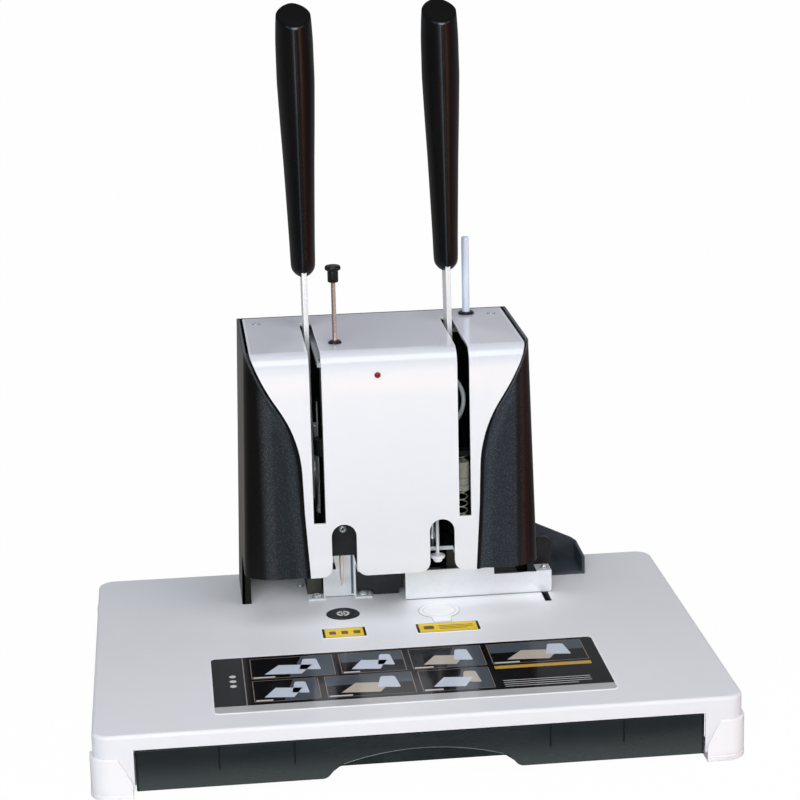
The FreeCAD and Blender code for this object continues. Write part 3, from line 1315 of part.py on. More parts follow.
def helix_spring(x, y, low, high, radius, wire, turns, label):
    """Open coil spring between two faces."""
    body = new_body(x, y, 0)
    start = low + wire + s.spring_gap
    height = high - low - (wire + s.spring_gap) * 2
    coil = body.newObject("PartDesign::AdditiveHelix", "coil")
    coil.Profile = draw(body, "XZ", 0, [circle(radius, start, wire)])
    coil.ReferenceAxis = (coil.Profile[0], ["V_Axis"])
    coil.Mode = 0
    coil.setExpression("Pitch", (height / turns).text)
    coil.setExpression("Height", height.text)
    node(body, label)


def springs():
    """Return springs: one round the inner drill column, one inside the rivet sleeve."""
    helix_spring(-s.inner_column_x, s.drill_depth, shelf_top, s.head_low,
                 s.drill_spring_radius, s.drill_spring_wire, s.drill_spring_turns, "drill_return_spring")
    helix_spring(s.sleeve_x, s.sleeve_y, shelf_top, s.sleeve_low + s.sleeve_high,
                 s.spring_radius, s.spring_wire, s.spring_turns, "rivet_return_spring")


# ---------------------------------------------------------------- rivet carriage

def rivet_carriage():
    """Block on two columns, with an arm over the spring sleeve and a terminal for the lead."""
    body = new_body()
    low, high = s.press_low, s.press_high
    pad(body, "XY", low, high - low, rect(s.press_inner, s.press_front, s.rack_inner, s.press_back))
    lug = s.column_radius + s.lug_wall
    pad(body, "XY", low, high - low, circle(s.inner_column_x, s.rivet_depth, lug))
    pad(body, "XY", low, high - low, circle(rivet_x, s.rivet_column_y, lug))
    arm_low = s.sleeve_low + s.sleeve_high
    reach = s.sleeve_x + s.sleeve_radius
    pad(body, "XY", arm_low, s.sleeve_arm,
        rect(s.rack_inner - 8, s.sleeve_y - s.sleeve_radius, reach, s.sleeve_y + s.sleeve_radius, 1.5))
    pad(body, "XZ", s.lead_y - s.lead_radius - 1, s.press_front - s.lead_y + s.lead_radius + 1.5,
        rect(s.lead_x - s.terminal_half, s.lead_foot - s.terminal_high, s.lead_x + s.terminal_half,
             s.lead_foot))
    pocket(body, "XY", low - 3, high - low + 4, circle(s.inner_column_x, s.rivet_depth,
                                                       s.column_radius + s.slide_fit))
    pocket(body, "XY", low - 3, high - low + 4, circle(rivet_x, s.rivet_column_y,
                                                       s.column_radius + s.slide_fit))
    pocket(body, "XY", arm_low - 3, s.press_low + 12 - arm_low + 3,
           circle(rivet_x, s.rivet_depth, s.barrel_radius - 2 + s.seat_gap))
    node(body, "rivet_carriage")


def rivet_head():
    """Heater barrel with a thin needle and a flared funnel at its end."""
    neck = s.barrel_radius - 2
    turned("rivet_head", rivet_x, s.rivet_depth,
           [(0, s.funnel_low), (s.funnel_radius, s.funnel_low + s.funnel_high * 0.55),
            (s.funnel_radius, s.funnel_low + s.funnel_high * 0.75),
            (s.needle_radius * 1.6, s.funnel_low + s.funnel_high),
            (s.needle_radius, s.funnel_low + s.funnel_high),
            (s.needle_radius, s.barrel_low), (s.barrel_radius - 1.5, s.barrel_low),
            (s.barrel_radius, s.barrel_low + 2), (s.barrel_radius, s.sleeve_low + s.sleeve_high - 0.6),
            (neck, s.sleeve_low + s.sleeve_high - 0.6), (neck, s.press_low + 12), (0, s.press_low + 12)])


def heater_lead():
    """Lead that leaves its terminal, loops over the head and comes back to the terminal."""
    loop, x, y, z = (value.number for value in (s.lead_loop, s.lead_x, s.lead_y, s.lead_z))
    foot = s.lead_foot.number + s.lead_radius.number * 0.55
    turn = math.radians(30)
    side = loop * math.cos(turn)
    low = z - loop * math.sin(turn)
    inset = (low - foot) * math.tan(turn)
    left_foot = FreeCAD.Vector(x - side + inset, y, foot)
    left = FreeCAD.Vector(x - side, y, low)
    right = FreeCAD.Vector(x + side, y, low)
    right_foot = FreeCAD.Vector(x + side - inset, y, foot)
    over = Part.Arc(left, FreeCAD.Vector(x, y, z + loop), right)
    edges = [Part.LineSegment(left_foot, left), over, Part.LineSegment(right, right_foot)]
    path = Part.Wire([edge.toShape() for edge in edges])
    ring = Part.Wire(Part.makeCircle(s.lead_radius.number, left_foot, left - left_foot))
    feature = doc.addObject("Part::Feature", "lead")
    feature.Shape = path.makePipeShell([ring], True, False)
    feature.Placement = FreeCAD.Placement()
    node(feature, "heater_lead")


def spring_sleeve():
    """Frosted nylon sleeve under the carriage's arm, round the return spring."""
    turned("spring_sleeve", s.sleeve_x, s.sleeve_y,
           rod_profile(s.sleeve_radius, s.sleeve_low, s.sleeve_low + s.sleeve_high, s.sleeve_bore))


def nylon_tube():
    """Length of rivet tube standing in its bush."""
    turned("nylon_tube", s.tube_x, s.tube_y,
           rod_profile(s.tube_radius, s.deck_height + s.tube_lift, s.tube_top, s.tube_bore))


# ---------------------------------------------------------------- power

def power_inlet():
    """Inlet module in the rear cover: a socket with three pins below, an opening for the switch above."""
    body = new_body()
    x, z, start = s.inlet_x, s.inlet_z, rear_face - s.inlet_deep
    pad(body, "XZ", start, s.inlet_deep,
        rect(x - s.inlet_half, z - s.inlet_half_high, x + s.inlet_half, z + s.inlet_half_high))
    rim_x, rim_z = s.inlet_half + s.inlet_rim, s.inlet_half_high + s.inlet_rim
    pad(body, "XZ", rear_face, s.inlet_rim_thick, rect(x - rim_x, z - rim_z, x + rim_x, z + rim_z, 2))
    outer = rear_face + s.inlet_rim_thick
    low = z - s.socket_low
    pocket(body, "XZ", outer - s.socket_deep, s.socket_deep + 1,
           rect(x - s.socket_half, low, x + s.socket_half, low + s.socket_high, 2))
    for i, rise in ((-1, 0), (0, 3), (1, 0)):
        middle = x + s.pin_pitch * i
        foot = low + s.socket_high / 2 - s.pin_tall + rise
        pad(body, "XZ", outer - s.socket_deep - 0.5, s.socket_deep - 2,
            rect(middle - s.pin_half, foot, middle + s.pin_half, foot + s.pin_tall))
    wide, tall = s.rocker_half + s.rocker_gap, s.rocker_half_high + s.rocker_gap
    up = z + s.rocker_up
    pocket(body, "XZ", outer - s.rocker_deep - 4, s.rocker_deep + 5,
           rect(x - wide, up - tall, x + wide, up + tall))
    node(body, "power_inlet")


def switch_rocker():
    """Rocker with two sloping halves, on a pivot inside the inlet."""
    outer = rear_face + s.inlet_rim_thick
    body = new_body(s.inlet_x, outer - s.rocker_deep, s.inlet_z + s.rocker_up, (1, 0, 0),
                    s.rocker_tilt.number)
    tall = s.rocker_half_high - 0.4
    crest = s.rocker_deep - 0.6
    pad(body, "YZ", -s.rocker_half, s.rocker_half * 2,
        [(-1, -tall + 2), (crest + s.rocker_proud - 1, -tall), (crest, 0),
         (crest + s.rocker_proud - 1, tall),
         (-1, tall - 2)])
    node(body, "switch_rocker")


# ---------------------------------------------------------------- everything

def build():
    """Make every sub-part."""
    base_cover()
    base_floor()
    corner_feet()
    chip_drawer()
    drawer_runners()
    drill_pad()
    rivet_disc()
    rivet_anvil()
    labels()
    drill_backstop()
    rivet_backstop()
    centre_wall()
    side_stop_post()
    offcut_tray()
    screws()
    front_panel()
    side_cover(-1, "left_cover")
    side_cover(1, "right_cover")
    rear_cover()
    status_lamp()
    bushes()
    frame_plates()
    lower_plate()
    top_plate()
    guide_columns()
    lever_axle()
    for side, station, teeth, radius, rack_teeth in (
            (-1, "drill", s.drill_teeth, drill_gear, s.drill_rack_teeth),
            (1, "rivet", s.rivet_teeth, rivet_gear, s.rivet_rack_teeth)):
        lever_bar(side, f"{station}_lever_bar")
        lever_grip(side, f"{station}_lever_grip")
        pinion(side, teeth, radius, f"{station}_pinion")
        rack(side, rack_teeth, radius, f"{station}_rack")
    drill_carriage()
    spindle_bearings()
    spindle_parts()
    motor_parts()
    drive_belt()
    clearing_rod()
    drill_guard()
    springs()
    rivet_carriage()
    rivet_head()
    heater_lead()
    spring_sleeve()
    nylon_tube()
    power_inlet()
    switch_rocker()


def check():
    """Stop if a feature failed or a sub-part has no sound shape."""
    failed = [thing.Name for thing in doc.Objects if "Invalid" in thing.State or "Error" in thing.State]
    failed += [thing.Label for thing in nodes if thing.Shape.isNull() or not thing.Shape.isValid()]
    if failed:
        raise RuntimeError("failed: " + ", ".join(failed))


build()
doc.recompute()
check()
os.makedirs("parts", exist_ok=True)
for thing in nodes:
    thing.Shape.exportStep(f"parts/{thing.Label}.step")
    print(f"{thing.Label:22s} solids {len(thing.Shape.Solids)}  volume {thing.Shape.Volume:10.1f}")
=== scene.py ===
"""Looks of a desktop paper drill and tube riveter.

A white base with a smoky chip drawer carries a tower: a bent white panel between two grained black covers,
two long black lever grips on polished bars, a clearing rod and a nylon tube. Lengths are in millimetres
until a mesh is made; X runs to the right, Y to the back and Z up.
"""
import json
import math

import bmesh
import bpy
import numpy as np
from mathutils import Matrix, Vector


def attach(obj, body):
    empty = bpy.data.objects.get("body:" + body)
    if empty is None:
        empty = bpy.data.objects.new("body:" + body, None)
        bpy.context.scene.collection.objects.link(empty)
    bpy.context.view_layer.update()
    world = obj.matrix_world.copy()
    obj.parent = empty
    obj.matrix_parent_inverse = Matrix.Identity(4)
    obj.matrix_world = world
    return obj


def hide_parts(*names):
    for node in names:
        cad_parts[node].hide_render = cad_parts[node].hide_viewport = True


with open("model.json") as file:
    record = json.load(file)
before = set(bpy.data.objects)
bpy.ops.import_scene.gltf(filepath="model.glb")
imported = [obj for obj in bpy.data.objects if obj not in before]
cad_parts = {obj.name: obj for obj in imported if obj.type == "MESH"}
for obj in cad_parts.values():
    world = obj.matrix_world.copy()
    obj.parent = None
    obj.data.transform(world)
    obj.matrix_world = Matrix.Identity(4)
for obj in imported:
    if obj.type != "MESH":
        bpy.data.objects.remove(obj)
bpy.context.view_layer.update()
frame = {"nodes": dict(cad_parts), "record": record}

MM = 0.001
TAU = 2 * math.pi
EVEN = (1, 1, 1)
body_of_node = {}
for body_name, body_nodes in frame["record"]["behaviour"]["bodies"].items():
    body_of_node.update((node, body_name) for node in body_nodes)

# ---------------------------------------------------------------- places shared by several pieces

DECK = 42.0                       # working surface above the desk
HALF_WIDE, HALF_DEEP = 201.5, 140.0
DRILL_X, DRILL_Y = -33.0, 45.0
RIVET_X, RIVET_Y = 33.0, 41.0
DISC_Y = 39.5
TUBE_X, TUBE_Y = 64.8, 113.4
COIL_X, COIL_Y, COIL_PITCH = 50.3, 38.0, 4.9              # spring and sleeve of the rivet head
HOUSING_TOP, HOUSING_BACK = 234.0, 128.0
PANEL_FRONT, PANEL_SHEET, PANEL_BEND, PANEL_LOW = 14.0, 2.0, 12.0, 80.0
TOP_HALF = 91.2                   # half width of the white top
SLOT_IN, SLOT_OUT, SLOT_LOW, SLOT_BACK = 44.9, 52.9, 118.0, 107.0
PIVOT_Y, PIVOT_Z, LEVER_X, LEVER_LEAN = 84.0, 136.0, 49.2, 5.4
GRIP_LOW, GRIP_SLOPE, GRIP_SLANT = 133.6, 0.57, 310.2     # the slanted top is at slant + slope · y


# ---------------------------------------------------------------- finishes

class Level:
    """A number that varies over a surface; arithmetic on it adds Math nodes to its tree."""

    def __init__(self, nodes, socket):
        self.nodes = nodes
        self.socket = socket

    def maths(self, operation, *values):
        return self.nodes.node("Math", {"operation": operation}, dict(enumerate(values)))

    def __add__(self, other):
        return self.maths("ADD", self, other)

    def __sub__(self, other):
        return self.maths("SUBTRACT", self, other)

    def __rsub__(self, other):
        return self.maths("SUBTRACT", other, self)

    def __mul__(self, other):
        return self.maths("MULTIPLY", self, other)

    __radd__, __rmul__ = __add__, __mul__

    def __abs__(self):
        return self.maths("ABSOLUTE", self)

    def at_least(self, other):
        return self.maths("MAXIMUM", self, other)

    def step(self, low, high):
        """Smooth step from 0 at low to 1 at high."""
        settings = {"interpolation_type": "SMOOTHSTEP"}
        return self.nodes.node("MapRange", settings, {"Value": self, "From Min": low, "From Max": high})

    def past(self, low, high):
        """Smooth step between two places in millimetres."""
        return self.step(low * MM, high * MM)


class Nodes:
    """A node tree that grows one short call at a time."""

    def __init__(self, tree):
        self.tree = tree

    def join(self, value, socket):
        if isinstance(value, Level):
            self.tree.links.new(value.socket, socket)
        elif isinstance(value, tuple) and len(value) == 3 and socket.type == "RGBA":
            socket.default_value = (*value, 1)
        else:
            socket.default_value = value

    def node(self, kind, settings=None, inputs=None, output=0):
        """Adds one node, sets it up, joins its sockets and gives one of its outputs."""
        made = self.tree.nodes.new("ShaderNode" + kind)
        for key, value in (settings or {}).items():
            setattr(made, key, value)
        for key, value in (inputs or {}).items():
            self.join(value, made.inputs[key])
        return Level(self, made.outputs[output])

    def split(self, vector):
        """The three parts of a vector."""
        parts = self.node("SeparateXYZ", None, {0: vector})
        return [Level(self, output) for output in parts.socket.node.outputs]

    def mix(self, level, first, second):
        """Colour between two colours."""
        return self.node("Mix", {"data_type": "RGBA"}, {0: level, 6: first, 7: second}, 2)

    def rays(self, kind):
        """1 for rays of a kind, 0 for all others."""
        return self.node("LightPath", output=f"Is {kind} Ray")

    def seen(self):
        """1 for what the camera sees, straight on or through clear material."""
        return self.rays("Camera").at_least(self.rays("Transmission"))


class Finish(Nodes):
    """A material built from nodes on Object coordinates, in metres."""

    def __init__(self, name, colour, roughness, **fixed):
        self.material = bpy.data.materials.new(name)
        self.material.use_nodes = True
        super().__init__(self.material.node_tree)
        self.shader = self.tree.nodes["Principled BSDF"]
        self.material.diffuse_color = (*colour, 1)
        self.set(Base_Color=colour, Roughness=roughness, **fixed)

    def place(self, stretch=EVEN, shift=(0, 0, 0)):
        here = self.node("TexCoord", output="Object")
        if stretch == EVEN and shift == (0, 0, 0):
            return here
        return self.node("Mapping", None, {"Vector": here, "Scale": stretch, "Location": shift})

    def axes(self):
        """Object coordinates as three levels, in metres."""
        return self.split(self.place())

    def noise(self, scale, detail=2.0, rough=0.5, stretch=EVEN, shift=(0, 0, 0)):
        here = self.place(stretch, shift)
        inputs = {"Vector": here, "Scale": scale, "Detail": detail, "Roughness": rough}
        return self.node("TexNoise", None, inputs)

    def cloud(self, scale, stretch=EVEN, detail=4.0):
        """Noise with fine detail, for patches and wear."""
        return self.noise(scale, detail, 0.6, stretch)

    def cells(self, scale, feature="F1", output="Distance"):
        inputs = {"Vector": self.place(), "Scale": scale}
        return self.node("TexVoronoi", {"feature": feature}, inputs, output)

    def relief(self, height, depth, strength=1.0, under=None):
        """Bump of a height from 0 to 1 over a depth in millimetres."""
        inputs = {"Height": height, "Distance": depth * MM, "Strength": strength}
        if under:
            inputs["Normal"] = under
        return self.node("Bump", None, inputs)

    def set(self, **links):
        for socket, value in links.items():
            self.join(value, self.shader.inputs[socket.replace("_", " ")])
        return self.material

    def done(self, colour, rough, height, depth, strength):
        """Joins the colour, the roughness and the relief, and gives the material."""
        return self.set(Base_Color=colour, Roughness=rough, Normal=self.relief(height, depth, strength))


def times(colour, share, more=0.0):
    """A colour made darker or paler."""
    return tuple(c * share + more for c in colour)


def powder_white():
    """Satin white powder coat: a fine orange peel, faint handling marks and a little dust."""
    f = Finish("powder_white", (0.80, 0.805, 0.825), 0.4, IOR=1.5)
    handled = f.cloud(14).step(0.4, 0.75)
    dust = f.cells(160).step(0.06, 0.0) * f.noise(40).step(0.62, 0.7)
    colour = f.mix(handled * 0.5, (0.81, 0.815, 0.835), (0.775, 0.78, 0.8))
    colour = f.mix(dust * 0.25, colour, (0.55, 0.54, 0.52))
    return f.done(colour, 0.36 + handled * 0.1, f.noise(700, 3.0), 0.02, 0.35)


def gloss_white():
    """Glossy white paint on sheet: long soft waves under a clear top coat.

    Painted shade darkens it over the bend; the level top is painted greyer and lavender as shade, with
    painted reflections as faint streaks and painted highlights along its rims and round the slots.
    """
    f = Finish("gloss_white", (0.86, 0.868, 0.885), 0.16, IOR=1.5, Coat_Weight=0.6, Coat_Roughness=0.04)
    smears = f.noise(22, 5.0, 0.65, (1, 1, 0.35)).step(0.45, 0.8)
    across, deep, height = f.axes()
    aside = abs(across)
    colour = f.mix(smears, (0.855, 0.873, 0.888), (0.835, 0.85, 0.868))
    # The level top: painted shade in a greyer lavender, with streaks of painted reflection.
    streaks = f.noise(22, 2.0, 0.5, (1, 0.25, 1), (0.31, 0, 0)).step(0.42, 0.6)
    top = f.mix(streaks, (0.70, 0.70, 0.76), (0.82, 0.82, 0.87))
    # Painted highlights along the rims of the slots and of the top.
    slot_rim_highlights = aside.past(SLOT_IN - 0.9, SLOT_IN - 0.6) * aside.past(SLOT_OUT + 0.9, SLOT_OUT + 0.6)
    slot_rim_highlights = slot_rim_highlights * deep.past(SLOT_BACK + 0.8, SLOT_BACK + 0.2)
    rims = aside.past(TOP_HALF - 1.6, TOP_HALF - 1.3)
    rims = rims.at_least(deep.past(HOUSING_BACK - 1.2, HOUSING_BACK - 0.9)).at_least(slot_rim_highlights)
    # Painted shade over the bend.
    colour = f.mix(height.past(HOUSING_TOP - 14.5, HOUSING_TOP - 5.5), colour, (0.69, 0.715, 0.765))
    level_top = height.past(HOUSING_TOP - 0.7, HOUSING_TOP - 0.2)
    colour = f.mix(level_top, colour, f.mix(rims * 0.7, top, (0.97, 0.97, 0.98)))
    bump = f.relief(f.noise(45, 1.0, 0.4), 0.12, 0.25, f.relief(f.noise(600), 0.006, 0.3))
    return f.set(Base_Color=colour, Roughness=0.13 + smears * 0.08, Normal=bump)


def moulded_white():
    """Satin white moulding of the corner feet, a little soiled near the desk."""
    f = Finish("moulded_white", (0.83, 0.825, 0.845), 0.34, IOR=1.47)
    scuffs = f.noise(60, 5.0, 0.6).step(0.52, 0.8)
    low = f.axes()[2].past(9, 0)
    colour = f.mix(scuffs * 0.5, (0.89, 0.88, 0.89), (0.81, 0.80, 0.81))
    colour = f.mix(low * f.noise(80, 3.0).step(0.35, 0.8) * 0.5, colour, (0.6, 0.58, 0.56))
    return f.done(colour, 0.3 + scuffs * 0.12, f.cloud(1500, detail=3.0), 0.012, 0.4)


def pebbled(f, scale):
    """Cells and the height of a pebbled grain."""
    pebbles = f.cells(scale, "SMOOTH_F1")
    return pebbles, pebbles * 0.8 + f.cloud(2400, detail=3.0) * 0.2


def grained_black():
    """Black moulded plastic with a fine pebbled grain."""
    f = Finish("grained_black", (0.008, 0.010, 0.013), 0.3, IOR=1.5)
    pebbles, height = pebbled(f, 1000)
    colour = f.mix(pebbles.step(0.2, 0.6), (0.010, 0.013, 0.018), (0.002, 0.003, 0.004))
    return f.done(colour, 0.17 + f.cloud(25) * 0.1, height, 0.15, 0.8)


def cover_black(name, side, body, painted_light_bands):
    """Pebbled black of a cover with painted light: upright bands of painted highlight, shade and warm
    reflection, painted shade as a dark rim beside the panel, and a painted highlight on the crest of the
    bead beside it.

    The mesh carries its distance from the panel's edge, in millimetres, as the attribute panel_gap.
    """
    f = Finish(name, (0.02, 0.027, 0.032), 0.4, IOR=1.3)
    across, _, height = f.axes()
    outward = across * side
    gap = f.node("Attribute", {"attribute_name": "panel_gap"}, output=2)
    pebbles, grain = pebbled(f, 1200)
    patch = f.cloud(25)
    # Painted shade: the body is darker within 6 to 12 mm of the panel's edge.
    colour = f.mix(gap.step(12.0, 6.0), body, times(body, 1.45))
    # Upright bands of painted highlight, shade and warm reflection.
    for low, high, tone in painted_light_bands:
        colour = f.mix(outward.past(low, high), colour, tone)
    # Painted shade: a dark rim right beside the panel.
    colour = f.mix(gap.step(3.6, 2.2), colour, (0.004, 0.005, 0.006))
    # Painted highlight on the crest of the bead, in its upper part.
    crest = gap.step(1.7, 2.3) * gap.step(3.7, 3.1) * height.past(172, 200)
    colour = f.mix(crest * patch.step(0.2, 0.6), colour, (0.22, 0.25, 0.30))
    colour = f.mix(pebbles.step(0.1, 0.45) * 0.62, colour, (0.001, 0.001, 0.001))
    return f.done(colour, 0.3 + patch * 0.12, grain, 0.15, 0.6)


# side, node, body tone, and painted light bands of (from, to, tone) outwards from the middle: painted
# highlight, shade and warm reflection; the right cover's paler, bluer body tone is painted light too
COVERS = [(-1, "left_cover", (0.037, 0.048, 0.058), [
              (77, 80.5, (0.066, 0.072, 0.084)), (82.5, 88.5, (0.006, 0.006, 0.006)),
              (92, 96.5, (0.003, 0.0028, 0.0025))]),
          (1, "right_cover", (0.052, 0.063, 0.08), [
              (83, 86, (0.016, 0.018, 0.02)), (86.5, 88.5, (0.046, 0.026, 0.02)),
              (89.5, 91.5, (0.03, 0.006, 0.006)), (92.5, 94.5, (0.004, 0.002, 0.002))])]


def grip_black(name, middle):
    """Dense black plastic of a grip with painted light: a painted highlight along the mould line in its
    middle, a painted warm reflection beside it, a painted highlight and glint along the front rim of its
    top, and painted shade on its top face.
    """
    f = Finish(name, (0.004, 0.004, 0.004), 0.34, IOR=1.24)
    across, deep, height = f.axes()
    off, lean = across - middle * MM, math.radians(LEVER_LEAN)
    ahead, up = deep - PIVOT_Y * MM, height - PIVOT_Z * MM
    along_y = ahead * math.cos(lean) - up * math.sin(lean)
    along_z = ahead * math.sin(lean) + up * math.cos(lean)
    to_face = along_z - along_y * GRIP_SLOPE
    front = along_y.past(-2, -5) * to_face.past(GRIP_SLANT - 1, GRIP_SLANT - 2)
    worn = f.cloud(30, (1, 1, 0.3)).step(0.4, 0.75)
    # Painted warm reflection beside the mould line.
    painted_warm_reflection = off.past(1.0, 2.2) * off.past(7.5, 4.5) * front
    # Painted highlight along the mould line.
    lines = off.past(-1.8, -1.2) * off.past(-0.2, -0.8) * front
    # Painted highlight along the front rim of the top, with a brighter painted glint in its middle.
    rim = to_face.past(GRIP_SLANT - 1.9, GRIP_SLANT - 1.2) * along_y.past(-11.0, -12.8)
    painted_rim_glint = rim * abs(off).past(2.8, 0.6)
    # Painted shade on the slanted top face.
    flat_end = to_face.past(GRIP_SLANT - 0.5, GRIP_SLANT - 0.2)
    colour = f.mix(worn, (0.0035, 0.004, 0.0045), (0.007, 0.0065, 0.0065))
    for level, tone in ((painted_warm_reflection, (0.012, 0.0045, 0.003)), (lines * (0.5 + worn * 0.5), (0.03, 0.037, 0.043)),
                        (rim, (0.022, 0.025, 0.028)), (painted_rim_glint, (0.17, 0.19, 0.21)),
                        (flat_end, (0.0015, 0.0015, 0.0015))):
        colour = f.mix(level, colour, tone)
    return f.done(colour, 0.36 - worn * 0.1 + flat_end * 0.4, f.cloud(900), 0.03, 0.35)


def gloss_black(name, colour=(0.007, 0.008, 0.009), roughness=0.22):
    """Smooth black plastic of knobs, bushes and small mouldings."""
    f = Finish(name, colour, roughness, IOR=1.4)
    smears = f.cloud(90).step(0.4, 0.8)
    tone = f.mix(smears, colour, times(colour, 1.5, 0.002))
    return f.done(tone, roughness + smears * 0.14, f.noise(1800), 0.01, 0.4)


def zinc(name="bright_zinc", tone=(0.91, 0.955, 0.985), polish=0.22):
    """Bright zinc plate: pale patches of crystals, a bluish cast and fine rubbing marks."""
    f = Finish(name, tone, polish, Metallic=0.1, IOR=2.0)
    grey = f.node("RGBToBW", None, {0: f.cells(420, output="Color")})
    patches = f.noise(60, 4.0, 0.65)
    rubs = f.noise(1400, 2.0, 0.5, (1, 1, 0.06)).step(0.5, 0.8)
    colour = f.mix(grey * 0.6 + patches.step(0.35, 0.7) * 0.4, times(tone, 0.93), tone)
    colour = f.mix(patches.step(0.66, 0.8) * 0.2, colour, (0.86, 0.8, 0.62))
    return f.done(colour, polish * (1 + grey * 0.5 + patches * 0.5), rubs + patches, 0.005, 0.3)


def shelf_zinc():
    """Zinc of the lower plate, with painted shade making its upper face nearly black."""
    f = Finish("shelf_zinc", (0.72, 0.75, 0.78), 0.3, Metallic=0.15, IOR=1.8)
    patches = f.noise(60, 4.0, 0.65)
    tone = f.mix(patches.step(0.35, 0.7), (0.80, 0.86, 0.90), (0.68, 0.73, 0.77))
    # Painted shade on the upper face.
    tone = f.mix(f.axes()[2].past(82.7, 82.9), tone, (0.012, 0.014, 0.014))
    return f.done(tone, 0.3 + patches * 0.2, patches, 0.01, 0.3)


def steel(name, tone, roughness, stretch=(1, 1, 0.02), lines=2600, metallic=1.0):
    """Steel with fine lines along one way, and faint finger marks."""
    f = Finish(name, tone, roughness, Metallic=metallic, IOR=1.8)
    drawn = f.cloud(lines, stretch, 3.0)
    marks = f.cloud(70).step(0.45, 0.8)
    colour = f.mix(drawn.step(0.35, 0.7) * 0.5 + marks * 0.3, tone, times(tone, 0.8))
    return f.done(colour, roughness + marks * 0.12 + drawn * 0.06, drawn, 0.006, 0.5)


def frame_paint(name):
    """Dull dark paint of the inner plates, painted darker above as the shade inside the housing; below the
    covers it is thin and olive.
    """
    f = Finish(name, (0.02, 0.022, 0.022), 0.8, Specular_IOR_Level=0.0)
    # Painted shade: nearly black above 82 mm, inside the housing.
    above = f.axes()[2].past(82, 76)
    patches = f.cloud(50).step(0.35, 0.75)
    colour = f.mix(above, (0.008, 0.012, 0.012), f.mix(patches, (0.075, 0.074, 0.062), (0.05, 0.05, 0.044)))
    return f.done(colour, 0.75 - above * 0.3 + patches * 0.1, f.cloud(1600, detail=3.0), 0.02, 0.4)


def bronzed_rod():
    """Drawn steel rod with a warm, slightly oily tint, painted shade along its left side, and greyer
    towards its point.
    """
    f = Finish("bronzed_rod", (0.66, 0.54, 0.47), 0.24, Metallic=0.6)
    across, _, height = f.axes()
    oil = f.cloud(120).step(0.4, 0.75)
    colour = f.mix(oil, (0.70, 0.585, 0.51), (0.60, 0.49, 0.42))
    # Painted shade along the rod's left side.
    colour = f.mix(across.past(DRILL_X - 0.1, DRILL_X - 0.7) * 0.75, colour, (0.16, 0.16, 0.15))
    colour = f.mix(height.past(85, 60) * 0.7, colour, (0.62, 0.6, 0.58))
    return f.done(colour, 0.2 + oil * 0.16, f.cloud(1500, (1, 1, 0.05), 3.0), 0.01, 0.5)


def nylon():
    """Milky nylon tube with a cool cast."""
    f = Finish("milky_nylon", (0.74, 0.78, 0.92), 0.3, IOR=1.5, Subsurface_Weight=0.35,
               Subsurface_Scale=0.004)
    milk = f.noise(60, 3.0, 0.5, (1, 1, 0.3))
    colour = f.mix(milk.step(0.35, 0.7), (0.78, 0.81, 0.93), (0.68, 0.73, 0.90))
    return f.done(colour, 0.26 + milk * 0.12, f.noise(1800, 2.0, 0.5, (1, 1, 0.02)), 0.012, 0.5)


def frosted_sleeve():
    """Frosted, slightly yellowed sleeve; the spring's turns show through its lower half."""
    f = Finish("frosted_sleeve", (0.62, 0.6, 0.5), 0.38, IOR=1.5, Subsurface_Weight=0.3,
               Subsurface_Scale=0.003)
    frost = f.cloud(200)
    height = f.axes()[2]
    turn = height * (TAU / (COIL_PITCH * MM))
    turns = turn.maths("SINE", turn)
    colour = f.mix(frost.step(0.35, 0.7), (0.78, 0.78, 0.70), (0.62, 0.6, 0.49))
    colour = f.mix((turns * height.past(143, 138)).step(0.2, 0.9) * 0.5, colour, (0.42, 0.33, 0.22))
    return f.done(colour, 0.34 + frost * 0.14, frost, 0.03, 0.4)


def smoked():
    """Smoky drawer plastic: dark and greenish, paler low down where desk light comes through.

    Two ribs behind each half of the front, and its ends, show as dark lines.
    """
    f = Finish("smoked_plastic", (0.03, 0.035, 0.036), 0.2, IOR=1.45, Coat_Weight=0.2,
               Coat_Roughness=0.1)
    across, _, height = f.axes()
    aside = abs(across)
    dull = f.cloud(35, (0.3, 1, 1)).step(0.35, 0.75)
    scratches = f.noise(900, 2.0, 0.5, (0.05, 1, 0.6)).step(0.62, 0.85) * 0.5
    ribs = 0
    for place in (79, 125):
        ribs = ribs + abs(aside - place * MM).past(0.9, 0.3)
    ends = aside.past(173.5, 175.2) * 0.8
    colour = f.mix(height.past(26, 4), (0.010, 0.015, 0.018), (0.05, 0.061, 0.06))
    colour = f.mix(dull * 0.3, colour, (0.035, 0.043, 0.045))
    colour = f.mix((ribs * height.past(14, 18) * 0.8).at_least(ends), colour, (0.002, 0.003, 0.004))
    return f.done(colour, 0.2 + dull * 0.14 + scratches * 0.1, scratches, 0.006, 0.3)


def soft_disc():
    """Pale heat-proof disc, cream and waxy, with a grey ring of painted shade in its groove between 10.4
    and 11.9 mm from its middle.
    """
    f = Finish("cream_disc", (0.93, 0.94, 0.95), 0.3, IOR=1.45)
    wax = f.cloud(90)
    across, deep, _ = f.axes()
    across, deep = across - RIVET_X * MM, deep - DISC_Y * MM
    far = across * across + deep * deep
    # Painted shade in the groove.
    groove_shade = far.step(1.08e-4, 1.18e-4) * far.step(1.42e-4, 1.3e-4)
    colour = f.mix(wax.step(0.35, 0.7), (0.93, 0.94, 0.93), (0.88, 0.89, 0.88))
    colour = f.mix(groove_shade * 0.6, colour, (0.66, 0.66, 0.65))
    return f.done(colour, 0.26 + wax * 0.14, wax, 0.03, 0.4)


def rubbery(name, colour, roughness=0.6):
    """Dull rubber or sleeving with a fine tooth."""
    f = Finish(name, colour, roughness, IOR=1.48)
    patch = f.cloud(80).step(0.35, 0.75)
    tone = f.mix(patch, colour, times(colour, 0.75))
    return f.done(tone, roughness + patch * 0.08, f.cloud(2200, detail=3.0), 0.03, 0.4)


